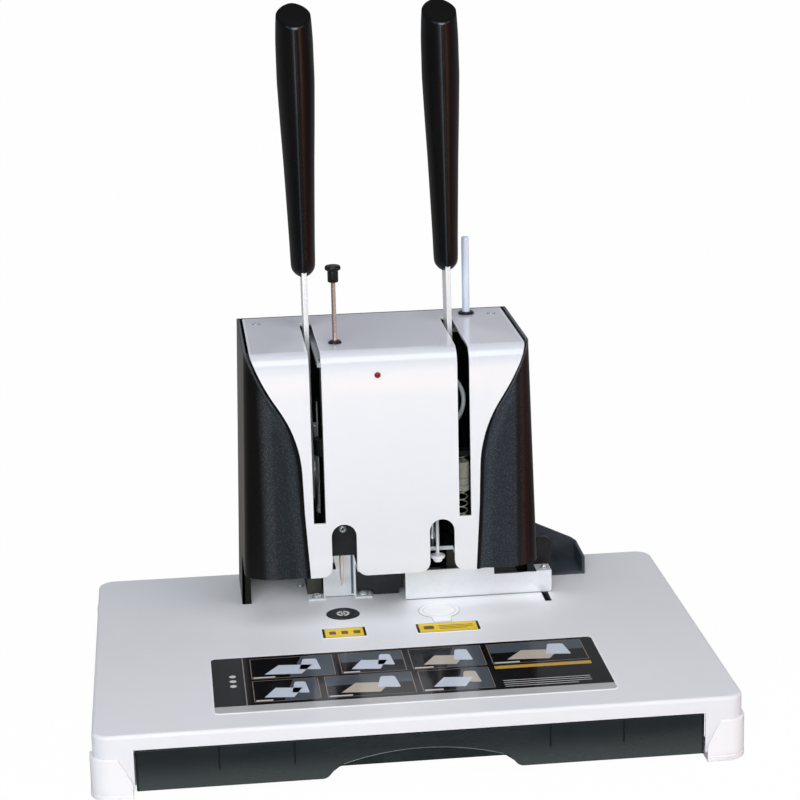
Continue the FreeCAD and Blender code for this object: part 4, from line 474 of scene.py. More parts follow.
def red_lamp():
    """Red lamp lens, lit."""
    f = Finish("red_lens", (0.45, 0.004, 0.012), 0.12, IOR=1.5, Emission_Strength=0.1)
    ribs = f.cells(900)
    colour = f.mix(ribs.step(0.1, 0.6), (0.42, 0.004, 0.016), (0.16, 0.001, 0.006))
    return f.set(Base_Color=colour, Emission_Color=colour, Normal=f.relief(ribs, 0.05, 0.4))


def film(name, colour):
    """Ink under a glossy film."""
    f = Finish(name, colour, 0.12, IOR=1.28, Coat_Weight=0.15, Coat_Roughness=0.05, Coat_IOR=1.3)
    waves = f.noise(120)
    tone = f.mix(f.noise(2500, 1.0).step(0.35, 0.65) * 0.5, colour, times(colour, 0.88))
    return f.done(tone, 0.12 + waves * 0.06, waves, 0.02, 0.25)


FLOOR_FRONT, FLOOR_BACK, FLOOR_STRIP = 0.12, 0.4, 2.3


def floor_white():
    """Pale floor that stays nearly white to the eye and keeps the object's shadow.

    In reflections it is a dim room's floor, brighter behind the object, with a warm strip in front.
    """
    f = Finish("pale_floor", (0.9, 0.9, 0.9), 0.9)
    seen = f.seen()
    depth = f.axes()[1]
    strip = depth.past(-822, -812) * depth.past(-755, -765)
    dim = depth.past(-300, 600) * (FLOOR_BACK - FLOOR_FRONT) + FLOOR_FRONT + strip * FLOOR_STRIP
    tone = f.mix(seen, f.mix(strip, (1, 0.96, 0.92), (1, 0.45, 0.08)), EVEN)
    glow = f.node("Emission", None, {"Color": tone, "Strength": seen + (1 - seen) * dim})
    share = (seen * 0.985).at_least(f.rays("Glossy") * 0.92)
    white = f.node("MixShader", None, {0: share, 1: Level(f, f.shader.outputs[0]), 2: glow})
    f.tree.links.new(white.socket, f.tree.nodes["Material Output"].inputs["Surface"])
    return f.material


# ---------------------------------------------------------------- mesh helpers

def softened(corners, steps=6, loop=True):
    """Points through corners; a corner with a third value is cut by an arc of that radius.

    The arc touches both sides at radius times tan(half the turn) from the corner.
    """
    points = []
    count = len(corners)
    for i, corner in enumerate(corners):
        here = np.array(corner[:2], float)
        ends_open = not loop and i in (0, count - 1)
        if len(corner) < 3 or corner[2] <= 0 or ends_open:
            points.append(here[None])
            continue
        back = np.array(corners[i - 1][:2], float) - here
        on = np.array(corners[(i + 1) % count][:2], float) - here
        back, on = back / np.linalg.norm(back), on / np.linalg.norm(on)
        half = math.acos(float(np.clip(back @ on, -1, 1))) / 2
        middle = here + (back + on) / np.linalg.norm(back + on) * corner[2] / math.sin(half)
        start, end = here + back * corner[2] / math.tan(half), here + on * corner[2] / math.tan(half)
        a, b = start - middle, end - middle
        sweep = math.pi - 2 * half
        share = np.linspace(0, 1, steps + 1)[:, None]
        arc = (a * np.sin((1 - share) * sweep) + b * np.sin(share * sweep)) / math.sin(sweep)
        points.append(middle + arc)
    return np.vstack(points)


def box_outline(x0, y0, x1, y1, radius=0.0):
    """Corners of a rectangle, each with its radius."""
    return [(x0, y0, radius), (x1, y0, radius), (x1, y1, radius), (x0, y1, radius)]


def ring(x, y, radius, sides=32):
    """Circle: (x + r cos a, y + r sin a)."""
    a = np.arange(sides) * TAU / sides
    return np.stack([x + radius * np.cos(a), y + radius * np.sin(a)], 1)


def grid_faces(rows, columns, round_rows=False, round_columns=False):
    """Four-sided faces between the points of a grid; a round way joins its last line to its first."""
    index = np.arange(rows * columns).reshape(rows, columns)
    if round_rows:
        index = np.vstack([index, index[:1]])
    if round_columns:
        index = np.hstack([index, index[:, :1]])
    corners = [index[:-1, :-1], index[1:, :-1], index[1:, 1:], index[:-1, 1:]]
    return np.stack(corners, -1).reshape(-1, 4)


def thickened(outer, inner, faces):
    """A sheet's two sides, with walls along every edge that only one face has."""
    outer, inner = outer.reshape(-1, 3), inner.reshape(-1, 3)
    edges = np.stack([faces, np.roll(faces, -1, 1)], -1).reshape(-1, 2)
    _, first, uses = np.unique(np.sort(edges, 1), axis=0, return_index=True, return_counts=True)
    free = edges[first[uses == 1]]
    count = len(outer)
    walls = np.stack([free[:, 1], free[:, 0], free[:, 0] + count, free[:, 1] + count], 1)
    backs = faces[:, ::-1] + count
    return np.vstack([outer, inner]), faces.tolist() + backs.tolist() + walls.tolist()


def flat_mesh(outline, holes=(), cuts=()):
    """Triangles of an outline with holes in a plane (u, v), cut along the lines v = cut."""
    mesh = bmesh.new()
    for loop in (outline, *holes):
        points = loop if isinstance(loop, np.ndarray) else softened(loop)
        made = [mesh.verts.new((u, v, 0)) for u, v in points]
        for i, vertex in enumerate(made):
            mesh.edges.new((made[i - 1], vertex))
    bmesh.ops.triangle_fill(mesh, use_beauty=True, use_dissolve=False, edges=mesh.edges[:],
                            normal=(0, 0, 1))
    for cut in cuts:
        everything = mesh.verts[:] + mesh.edges[:] + mesh.faces[:]
        bmesh.ops.bisect_plane(mesh, geom=everything, plane_co=(0, cut, 0), plane_no=(0, 1, 0), dist=1e-5)
    bmesh.ops.triangulate(mesh, faces=mesh.faces[:])
    mesh.verts.index_update()
    points = np.array([v.co[:2] for v in mesh.verts])
    faces = np.array([[v.index for v in face.verts] for face in mesh.faces])
    mesh.free()
    return points, faces


def slab(lay, depth, outline, holes=(), cuts=()):
    """Sheet of a depth: lay(u, v, level) puts each point of a flat outline in space."""
    points, faces = flat_mesh(outline, holes, cuts)
    u, v = points.T
    return thickened(lay(u, v, 0.0), lay(u, v, depth), faces)


def lay_flat(height):
    """Plane at a height: (u, v) is (x, y), and level goes down."""
    return lambda u, v, level: np.stack([u, v, np.full_like(u, height) - level], 1)


def lay_front(depth):
    """Upright plane: (u, v) is (x, z), and level goes back."""
    return lambda u, v, level: np.stack([u, np.full_like(u, depth) + level, v], 1)


def lay_side(x):
    """Plane across: (u, v) is (y, z), and level goes to the right."""
    return lambda u, v, level: np.stack([np.full_like(u, x) + level, u, v], 1)


def turned(profile, x=0.0, y=0.0, sides=40, loop=False):
    """Profile of (radius, height) turned about an upright axis: (x + r cos a, y + r sin a, z)."""
    profile = np.asarray(profile, float)
    a = np.arange(sides) * TAU / sides
    r, z = profile[:, 0, None], profile[:, 1, None]
    points = np.stack([x + r * np.cos(a), y + r * np.sin(a), z + 0 * a], -1)
    return points.reshape(-1, 3), grid_faces(len(profile), sides, loop, True).tolist()


def swept(path, radius, sides=10, closed=False, up=(0, 0, 1)):
    """Round tube: path + r (cos a · side + sin a · over), side = way × up, over = side × way."""
    path = np.asarray(path, float)
    way = np.roll(path, -1, 0) - np.roll(path, 1, 0) if closed else np.gradient(path, axis=0)
    way /= np.linalg.norm(way, axis=1)[:, None]
    side = np.cross(way, np.asarray(up, float))
    side /= np.linalg.norm(side, axis=1)[:, None]
    over = np.cross(side, way)
    a = np.arange(sides) * TAU / sides
    radius = np.broadcast_to(np.asarray(radius, float), (len(path),))[:, None, None]
    turn = np.cos(a)[None, :, None] * side[:, None] + np.sin(a)[None, :, None] * over[:, None]
    points = (path[:, None] + radius * turn).reshape(-1, 3)
    faces = grid_faces(len(path), sides, closed, True).tolist()
    if not closed:
        faces += [list(range(sides))[::-1], list(range(len(points) - sides, len(points)))]
    return points, faces


def moved(shape, matrix):
    """A shape turned and moved by a matrix whose move is in millimetres."""
    points, faces = shape
    m = np.array(matrix)
    return points @ m[:3, :3].T + m[:3, 3], faces


def together(*shapes):
    """Several shapes as one."""
    points, faces, start = [], [], 0
    for shape_points, shape_faces in shapes:
        points.append(shape_points)
        faces += [[i + start for i in face] for face in shape_faces]
        start += len(shape_points)
    return np.vstack(points), faces


def finish_mesh(mesh, flats):
    """Merges doubles, points the faces outwards and joins flat neighbours."""
    work = bmesh.new()
    work.from_mesh(mesh)
    bmesh.ops.remove_doubles(work, verts=work.verts, dist=2e-6)
    bmesh.ops.recalc_face_normals(work, faces=work.faces)
    if flats:
        angle = math.radians(flats)
        bmesh.ops.dissolve_limit(work, angle_limit=angle, verts=work.verts, edges=work.edges)
    work.to_mesh(mesh)
    work.free()
    for name in ("custom_normal", "sharp_edge"):
        if name in mesh.attributes:
            mesh.attributes.remove(mesh.attributes[name])
    mesh.shade_smooth()


BEVEL_ANGLE, SPLIT_ANGLE = math.radians(32), math.radians(35)


def soft_edges(obj, width):
    """Rounds an object's sharp edges, and keeps its flat faces looking flat."""
    edge = obj.modifiers.new("edges", "BEVEL")
    edge.width = width * MM
    edge.segments = 2
    edge.limit_method = "ANGLE"
    edge.angle_limit = BEVEL_ANGLE
    edge.use_clamp_overlap = True
    obj.modifiers.new("shading", "WEIGHTED_NORMAL").keep_sharp = True


def put(name, shape, finish, node, bevel=0.0, stands_for=(), flats=0.0):
    """Piece that takes its body from a CAD node, and stands for the nodes listed."""
    points, faces = shape
    mesh = bpy.data.meshes.new(name)
    mesh.from_pydata((np.asarray(points) * MM).tolist(), [], faces)
    finish_mesh(mesh, flats)
    return settle(bpy.data.objects.new(name, mesh), finish, node, bevel, stands_for)


def whole(name, shape, finish, node, bevel=0.0):
    """Piece that stands for the CAD node it takes its body from."""
    return put(name, shape, finish, node, bevel, (node,))


def spun(name, node, x, y, profile, finish, sides=40, bevel=0.0, loop=False):
    """Turned piece that stands for a CAD node."""
    whole(name, turned(profile, x, y, sides, loop), finish, node, bevel)


def settle(obj, finish, node, bevel, stands_for):
    """Puts a piece in the scene with its finish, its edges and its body."""
    bpy.context.scene.collection.objects.link(obj)
    obj.data.materials.clear()
    obj.data.materials.append(finish)
    if bevel:
        soft_edges(obj, bevel)
    else:
        obj.modifiers.new("shading", "EDGE_SPLIT").split_angle = SPLIT_ANGLE
    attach(obj, body_of_node[node])
    if stands_for:
        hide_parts(*stands_for)
    return obj


def refined(node, finish, bevel=0.3):
    """Copy of a CAD node with merged points and rounded edges, in its place."""
    mesh = frame["nodes"][node].data.copy()
    finish_mesh(mesh, 0.4)
    return settle(bpy.data.objects.new(node + "_soft", mesh), finish, node, bevel, (node,))


def in_black(node, name, colour, roughness, bevel=0.3):
    """Copy of a CAD node in a smooth black of its own."""
    refined(node, gloss_black(name, colour, roughness), bevel)


def painted(node, finish):
    """A CAD node that keeps its mesh and gets its finish."""
    materials = frame["nodes"][node].data.materials
    materials.clear()
    materials.append(finish)


# ---------------------------------------------------------------- base

BASE_ROUND = 11.0
FOOT_X, FOOT_Y = HALF_WIDE - BASE_ROUND, HALF_DEEP - BASE_ROUND      # middle of the base's corner arc
FOOT_PROUD, FOOT_REACH, FOOT_TOP, FOOT_LOW, FOOT_CREST, SOLE_TOP = 2.0, 12.8, 27.2, 11.0, 4.2, 5.9


def corner_foot(side, end):
    """Cap of one corner: a wall round the corner whose top slopes down at both ends, and a sole inside it.

    The wall is a grid of height levels round the corner; each level stands out by its own amount.
    """
    turn = np.linspace(0, math.pi / 2, 13)
    run = np.array([FOOT_REACH, 8.5, FOOT_CREST, 1.5])
    zero = np.zeros(len(run))
    direction = np.vstack([np.stack([zero, zero + 1], 1), np.stack([np.sin(turn), np.cos(turn)], 1),
                           np.stack([zero + 1, zero], 1)])
    origin = np.vstack([np.stack([FOOT_X - run, zero + FOOT_Y], 1), np.tile([FOOT_X, FOOT_Y], (13, 1)),
                        np.stack([zero + FOOT_X, FOOT_Y - run[::-1]], 1)])
    away = np.concatenate([run, np.zeros(13), run[::-1]])
    slope = np.clip((away - FOOT_CREST) / (FOOT_REACH - FOOT_CREST), 0, 1)
    crest = FOOT_TOP - (FOOT_TOP - FOOT_LOW) * slope
    levels = [(0.0, 1.6), (0.6, 2.3), (3.4, 2.3), (3.9, 1.75), (4.4, FOOT_PROUD), (8.5, FOOT_PROUD)]
    heights = np.array([np.full_like(crest, z) for z, _ in levels] + [crest - 0.5, crest])
    proud = np.array([out for _, out in levels] + [FOOT_PROUD - 0.1, FOOT_PROUD - 0.45])
    plan = origin[None] + direction[None] * (BASE_ROUND + proud)[:, None, None]
    inner_plan = origin[None] + direction[None] * np.full_like(proud, BASE_ROUND + 0.02)[:, None, None]
    outer = np.dstack([plan, heights])
    inner = np.dstack([inner_plan, heights])
    wall = thickened(outer, inner, grid_faces(len(heights), len(away)))
    low_x, low_y = FOOT_X - FOOT_REACH, FOOT_Y - FOOT_REACH
    plan = [(low_x, low_y), (HALF_WIDE + 1, low_y), (HALF_WIDE + 1, HALF_DEEP + 1, 12),
            (low_x, HALF_DEEP + 1)]
    sole = slab(lay_flat(SOLE_TOP), SOLE_TOP, plan)
    return moved(together(wall, sole), Matrix.Diagonal((side, end, 1, 1)))


def tub(x0, y0, x1, y1, radius, profile):
    """Tray or cap: rounded rectangles, one for each (inset, height) of a profile, closed at both ends."""
    rings = []
    for inset, height in profile:
        corner = max(radius - inset, 0.2)
        plan = softened(box_outline(x0 + inset, y0 + inset, x1 - inset, y1 - inset, corner), 5)
        rings.append(np.column_stack([plan, np.full(len(plan), height)]))
    count = len(rings[0])
    faces = grid_faces(len(rings), count, round_columns=True).tolist()
    faces += [list(range(count)), list(range(count * (len(rings) - 1), count * len(rings)))]
    return np.vstack(rings), faces


DRAWER_HALF, DRAWER_FRONT, DRAWER_BACK = 175.7, -139.6, 65.4
DRAWER_LOW, DRAWER_TOP, TRAY_LOW = 4.9, 31.2, 12.6
CUT_HALF, CUT_RUN, CUT_TOP = 51.2, 8.4, 12.2
SCOOP_TOP, SCOOP_ROUND, SCOOP_HALF, SCOOP_DEPTH = 21.5, 168.0, 50.0, 1.3


def scoop_line(x):
    """Height of the arch over the fingers: top - (r - sqrt(r² - x²))."""
    return SCOOP_TOP - SCOOP_ROUND + np.sqrt(SCOOP_ROUND ** 2 - x ** 2)


def drawer_front():
    """Front whose lower edge rises to an arch over the fingers, and the plate behind the arch."""
    x = np.linspace(-SCOOP_HALF, SCOOP_HALF, 41)
    arch = scoop_line(x)
    ramp = [(-DRAWER_HALF, DRAWER_TOP, 0.8), (-DRAWER_HALF, DRAWER_LOW, 0.8),
            (-CUT_HALF - CUT_RUN, DRAWER_LOW, 6), (-CUT_HALF - 2, CUT_TOP + 0.2, 5), (-SCOOP_HALF, arch[0])]
    left = softened(ramp, loop=False)
    skin = np.vstack([left, np.stack([x, arch], 1)[1:-1], left[::-1] * (-1, 1)])
    wide = CUT_HALF + CUT_RUN
    half = [(-wide - 4, SCOOP_TOP + 4), (-wide - 4, DRAWER_LOW + 1), (-wide, DRAWER_LOW + 1, 5),
            (-CUT_HALF, CUT_TOP, 4)]
    back = half[1:] + [(-x, *rest) for x, *rest in half[::-1]] + half[:1]
    recess = DRAWER_FRONT + SCOOP_DEPTH
    return slab(lay_front(DRAWER_FRONT), SCOOP_DEPTH + 0.4, skin), slab(lay_front(recess), 2.2, back)


def drawer_tray():
    """Tray behind the front, with a thin rim and a rounded floor."""
    profile = [(0.3, TRAY_LOW), (0.0, TRAY_LOW + 0.3), (0.0, DRAWER_TOP - 0.2), (0.3, DRAWER_TOP),
               (1.7, DRAWER_TOP), (2.0, DRAWER_TOP - 0.3), (2.0, TRAY_LOW + 4), (2.9, TRAY_LOW + 2.6),
               (4.5, TRAY_LOW + 2)]
    return tub(-DRAWER_HALF, DRAWER_FRONT + 2.6, DRAWER_HALF, DRAWER_BACK, 4, profile)


def base():
    """Cover, feet and drawer, and the zinc floor and runners under them."""
    white = powder_white()
    refined("base_cover", white, 0.35)
    feet = together(*(corner_foot(side, end) for side in (-1, 1) for end in (-1, 1)))
    put("foot_caps", feet, moulded_white(), "corner_feet", 0.25, ("corner_feet",), flats=0.5)
    smoke = smoked()
    face, recess = drawer_front()
    put("drawer_face", face, smoke, "chip_drawer", 0.3, flats=0.5)
    recess_smoke = gloss_black("recess_smoke", (0.012, 0.019, 0.018), 0.3)
    put("drawer_recess", recess, recess_smoke, "chip_drawer", 0.3, flats=0.5)
    whole("drawer_tray", drawer_tray(), smoke, "chip_drawer")
    # A pale wire along the arch: a painted highlight on its edge.
    x = np.linspace(-SCOOP_HALF + 0.5, SCOOP_HALF - 0.5, 49)
    lip = np.stack([x, np.full(49, DRAWER_FRONT + 0.3), scoop_line(x) - 0.1], 1)
    put("scoop_edge_highlight", swept(lip, 0.35, 8, up=(0, 1, 0)), gloss_black("scoop_edge_highlight", (0.11, 0.13, 0.13), 0.25),
        "chip_drawer")
    for node in ("base_floor", "drawer_runners"):
        refined(node, zinc(node + "_zinc"), 0.2)


# ---------------------------------------------------------------- what lies in the deck

PETAL_OUT, PETAL_IN = 4.6, 3.0


def cutting_pad():
    """Black pad with a raised rim, and the metal insert round the drill's hole: four arcs and a button."""
    top = DECK + 0.2
    rubber = [(0, top - 4.8), (11.5, top - 4.8), (11.5, top - 0.4), (11.1, top), (10.2, top),
              (9.8, top - 0.35), (6.0, top - 0.35), (5.6, top - 0.1), (0, top - 0.1)]
    pad_black = rubbery("pad_black", (0.006, 0.009, 0.012), 0.5)
    spun("pad_rubber", "drill_pad", DRILL_X, DRILL_Y, rubber, pad_black, 64, 0.12)
    petals = []
    for i in range(4):
        arc = np.linspace(-0.62, 0.62, 9) + i * TAU / 4 + TAU / 8
        way = np.stack([np.cos(arc), np.sin(arc)], 1)
        outline = np.vstack([way * PETAL_OUT, way[::-1] * PETAL_IN]) + (DRILL_X, DRILL_Y)
        petals.append(slab(lay_flat(top + 0.12), 0.5, outline))
    button = [(0, top - 0.3), (1.7, top - 0.3), (1.7, top + 0.1), (1.3, top + 0.2), (0.8, top - 0.1),
              (0, top - 0.1)]
    petals.append(turned(button, DRILL_X, DRILL_Y, 24))
    bright = steel("pad_insert", (0.92, 0.91, 0.86), 0.22, (1, 1, 1), 900, metallic=0.5)
    put("pad_insert", together(*petals), bright, "drill_pad", 0.12)


DISC_RADIUS, DISC_TOP, DISC_SIDES, TONGUE_HALF, TONGUE_END = 14.0, 42.6, 96, 6.4, 18.2
DISC_EDGE = [(0.0, 1.2), (0.0, 0.5), (0.25, 0.12), (0.7, 0), (1.5, 0), (1.9, 0.25), (2.6, 0.3)]
DISC_DISH = [(9.5, 0.3), (9.0, 0.18), (4.0, 0.2), (0.0, 0.2)]


def rivet_disc():
    """Cream disc with a tongue: rims from a keyhole outline, up over its edge and into a shallow dish.

    Rim: (x + r cos a, y + r sin a), but beside the tongue the points lie on its end, a little spread.
    The edge lists (way inwards, way under the top), and the dish (radius, way under the top).
    """
    a = np.arange(DISC_SIDES) * TAU / DISC_SIDES
    cos, sin = np.cos(a), np.sin(a)
    on_tongue = sin < -math.sqrt(1 - (TONGUE_HALF / DISC_RADIUS) ** 2)
    share = np.clip(cos * DISC_RADIUS / TONGUE_HALF, -1, 1)
    square = TONGUE_HALF * np.sign(share) * np.abs(share) ** 0.5 * 0.98
    rim_x = np.where(on_tongue, RIVET_X + square, RIVET_X + DISC_RADIUS * cos)
    flat_end = TONGUE_END + 2.0 * np.abs(share) ** 8
    end_y = np.minimum(flat_end + 2.2 * np.abs(share) ** 20, DISC_Y)
    rim_y = np.where(on_tongue, end_y, DISC_Y + DISC_RADIUS * sin)
    way = np.hypot(rim_x - RIVET_X, rim_y - DISC_Y)
    level = np.ones(DISC_SIDES)
    rims = [np.tile([RIVET_X, DISC_Y, DISC_TOP - DISC_EDGE[0][1]], (DISC_SIDES, 1))]
    for inward, under in DISC_EDGE:
        keep = (way - inward) / way
        rims.append(np.stack([RIVET_X + (rim_x - RIVET_X) * keep, DISC_Y + (rim_y - DISC_Y) * keep,
                              level * (DISC_TOP - under)], 1))
    for radius, under in DISC_DISH:
        height = level * (DISC_TOP - under)
        rims.append(np.stack([RIVET_X + radius * cos, DISC_Y + radius * sin, height], 1))
    shape = np.vstack(rims), grid_faces(len(rims), DISC_SIDES, round_columns=True).tolist()
    whole("cream_disc", shape, soft_disc(), "rivet_disc")
    # A grey ring of painted shadow in the gap round the disc's rim.
    gap = np.stack([rim_x, rim_y, level * (DECK + 0.12)], 1)
    put("disc_gap_shadow", swept(gap, 0.2, 8, closed=True), rubbery("gap_shadow_grey", (0.48, 0.49, 0.5)), "rivet_disc")


LABEL_HALF, LABEL_FRONT, LABEL_BACK, LABEL_INSET, LABEL_BAND = 126.4, -116.0, -25.6, 0.3, 10
# left and right edge of each field, upper row first
FIELD_WIDTHS = [(-101, -47), (-43, -1), (3, 51), (55, 118), (-101, -59), (-55, 1), (5, 51)]
UPPER_FIELDS, TAN_SHEETS, TAN_BLOCK, FRAME = 4, (2, 3, 5), 6, 0.5
STICKERS = [(-50, -20.7, 0.5), (13.7, 56.3, -0.5)]        # left, right and front edge
STICKER_DEEP = 16.5


def printed(node, base_level, layers):
    """Flat inked shapes above a label's film, from (name, ink, tone, lift over the film, outlines)."""
    for name, ink, tone, lift, outlines in layers:
        shapes = [slab(lay_flat(base_level + lift), 0.02, outline) for outline in outlines]
        put(name, together(*shapes), film(ink, tone), node)


def border(x0, y0, x1, y1, wide):
    """Four thin bars round a field."""
    return [box_outline(x0, y0, x0 + wide, y1), box_outline(x1 - wide, y0, x1, y1),
            box_outline(x0, y0, x1, y0 + wide), box_outline(x0, y1 - wide, x1, y1)]


def instruction_label():
    """Glossy dark label: a side strip, framed fields with plain shapes of sheets and blocks, a gold bar."""
    base_level = DECK + 0.28
    margin = box_outline(-LABEL_HALF - 0.7, LABEL_FRONT - 0.9, LABEL_HALF + 0.7, LABEL_BACK + 1.1, 4.6)
    whole("label_film", slab(lay_flat(base_level), 0.28, margin), film("label_margin", (0.97, 0.97, 0.98)),
          "instruction_label")
    half, front, back = LABEL_HALF - LABEL_INSET, LABEL_FRONT + LABEL_INSET, LABEL_BACK - LABEL_INSET
    ground = box_outline(-half, front, half, back, 3.2)
    band_top = LABEL_FRONT + LABEL_BAND
    band = ground[:2] + [(half, band_top), (-half, band_top)]
    frames, dusk, pale, tan, white = [], [], [], [], []
    low, middle, high = band_top + 4, (band_top + LABEL_BACK) / 2, LABEL_BACK - 4
    for i, (x0, x1) in enumerate(FIELD_WIDTHS):
        y0, y1 = (middle + 1.5, high) if i < UPPER_FIELDS else (low, middle - 1.5)
        wide, tall = x1 - x0, y1 - y0
        frames += border(x0, y0, x1, y1, FRAME)
        white.append(box_outline(x0 + 1.2, y0 + 1.2, x0 + 0.28 * wide, y0 + 3.2))
        if i % 2 == 0:
            dusk.append([(x0 + 0.45 * wide, y0 + 0.8), (x1 - 0.8, y0 + 0.8), (x1 - 0.8, y1 - 0.8),
                         (x0 + 0.62 * wide, y1 - 0.8)])
        else:
            dusk.append(box_outline(x0 + 0.8, y0 + 0.55 * tall, x1 - 0.8, y1 - 0.8))
        sheet = [(0.16, 0.2), (0.6, 0.14), (0.74, 0.56), (0.34, 0.62)]
        block = [(0.58, 0.36, 1), (0.84, 0.3, 1), (0.8, 0.84, 2), (0.64, 0.86, 2)]
        sheet, block = ([(x0 + u * wide, y0 + v * tall, *corner) for u, v, *corner in shape]
                        for shape in (sheet, block))
        (tan if i in TAN_SHEETS else pale).append(sheet)
        (tan if i == TAN_BLOCK else pale).append(block)
    white += [ring(-113, middle + 8 * k, 2.2, 20) for k in (-1, 0, 1)]
    white += [box_outline(57, low + 3.2 * k, 57 + 56 - 9 * (k == 0), low + 3.2 * k + 0.7) for k in range(4)]
    gold = box_outline(55, middle - 6.5, 118, middle - 1.5)
    rule = box_outline(-106, band_top, -105.4, back)
    printed("instruction_label", base_level, [
        ("label_ground", "label_black", (0.007, 0.007, 0.008), 0.02, [ground]),
        ("label_band", "label_grey", (0.46, 0.46, 0.465), 0.04, [band]),
        ("label_frames", "label_brown", (0.27, 0.21, 0.17), 0.06, frames),
        ("label_dusk", "label_slate", (0.075, 0.09, 0.11), 0.05, dusk),
        ("label_tan", "label_tan", (0.52, 0.46, 0.38), 0.07, tan),
        ("label_pale", "label_pale", (0.60, 0.65, 0.74), 0.09, pale),
        ("label_white", "label_white", (0.62, 0.62, 0.62), 0.07, white),
        ("label_gold", "label_gold", (0.55, 0.34, 0.06), 0.06, [gold]),
        ("label_line", "label_rule", (0.30, 0.26, 0.23), 0.06, [rule])])


def station_stickers():
    """Two small yellow stickers with dark ends and plain bars, on white film."""
    level = DECK + 0.25
    films, yellow, dark = [], [], []
    for x0, x1, y0 in STICKERS:
        y1 = y0 + STICKER_DEEP
        films.append(slab(lay_flat(level), 0.25, box_outline(x0 - 0.8, y0 - 1, x1 + 0.8, y1 + 1, 1.6)))
        dark.append(box_outline(x0, y0, x1, y1, 0.6))
        yellow.append(box_outline(x0 + 1.7, y0 + 0.5, x1 - 1.7, y1 - 0.5, 0.4))
    marks = [box_outline(-45.5 + 8.2 * k, 5.6, -45.5 + 8.2 * k + 4.6, 11.6, 1.2) for k in range(3)]
    marks += [box_outline(18.5, 5.0, 25.5, 11.2, 1.4)]
    marks += [box_outline(29, 4.6 + 2.7 * k, 52 - 4 * (k == 0), 5.6 + 2.7 * k) for k in range(3)]
    whole("sticker_film", together(*films), film("sticker_margin", (0.97, 0.97, 0.98)), "station_labels")
    printed("station_labels", level, [("sticker_edge", "sticker_black", (0.02, 0.02, 0.022), 0.02, dark),
                                      ("sticker_face", "sticker_yellow", (0.90, 0.62, 0.04), 0.04, yellow),
                                      ("sticker_marks", "sticker_ink", (0.16, 0.12, 0.04), 0.06, marks)])


# ---------------------------------------------------------------- stops on the deck

# x, y, seat, radius, height over the seat, turn of the cross
DECK_SCREWS = [(-48.5, 78.0, DECK + 1.5, 3.2, 2.0, 0.5), (-15.9, 78.0, DECK + 1.5, 3.2, 2.0, 0.2),
               (111.95, 72.5, DECK + 15.8, 2.24, 2.0, 0.9), (-58.3, 105.7, DECK, 2.24, 2.0, 0.1)]
GUARD_SCREW, GUARD_PLACE = (0, 0, 0, 2.56, 1.4, 0.6), (DRILL_X, 25.6, 110.0)
COVER_SCREW, TOP_SCREW_X, TOP_SCREW_Y = (2.6, 0.9), 82.2, 111.0
REAR_SCREW_X, REAR_SCREW_Y, REAR_SCREW_HEIGHTS = 85.2, 130.3, (54, 138, 222)
CROSS_LONG, CROSS_HALF, CROSS_DEEP = 0.56, 0.15, 0.55     # shares of the radius, and of the height
CROSS_MOST = 1.1                  # deepest cross


def screw_head(x, y, z, radius, high, turn):
    """Pan head: high (1 - 0.75 (r / radius)⁴) over its seat, less a cross recess in its middle."""
    r = radius * np.concatenate([np.linspace(0, 0.62, 12), [0.74, 0.86, 0.95, 1.0]])[:, None]
    a = np.arange(64)[None] * TAU / 64
    u, v = r * np.cos(a), r * np.sin(a)
    dome = high * (1 - 0.75 * (r / radius) ** 4) + 0 * a
    cos, sin = math.cos(turn), math.sin(turn)
    arm = np.minimum(np.abs(u * cos + v * sin), np.abs(v * cos - u * sin))
    cross = np.clip((CROSS_HALF * radius - arm) / (0.06 * radius), 0, 1)
    cross = cross * np.clip((CROSS_LONG * radius - r) / (0.08 * radius), 0, 1)
    top = np.stack([x + u, y + v, z + dome - cross * min(CROSS_DEEP * high, CROSS_MOST)], -1)
    rim = np.stack([x + u[-1], y + v[-1], np.full(64, z)], -1)[None]
    middle = np.tile([x, y, z], (64, 1))[None]
    points = np.concatenate([top, rim, middle])
    return points.reshape(-1, 3), grid_faces(len(points), 64, round_columns=True).tolist()


def cross_and_seat_shade(x, y, z, radius, high, turn):
    """Painted shade: a dark flat cross on the floor of a cross recess, turned by an angle, and a dark ring
    of painted shadow round the seat.
    """
    long, thin = CROSS_LONG * radius, (CROSS_HALF + 0.02) * radius
    quarter = np.array([(thin, thin), (thin, long), (-thin, long)])
    corners = [quarter @ np.array([[c, d], [-d, c]]) for c, d in ((1, 0), (0, 1), (-1, 0), (0, -1))]
    cos, sin = math.cos(turn), math.sin(turn)
    flat = np.vstack(corners) @ np.array([[cos, sin], [-sin, cos]]) + (x, y)
    level = z + high - min(CROSS_DEEP * high, CROSS_MOST) + 0.12
    seat = slab(lay_flat(z + 0.08), 0.1, ring(x, y, radius + 0.4))
    return together(slab(lay_flat(level), 0.1, flat[::-1]), seat)


def facing(x, y, z, angle):
    """Turn by an angle in degrees about X, then a move."""
    return Matrix.Translation((x, y, z)) @ Matrix.Rotation(math.radians(angle), 4, "X")


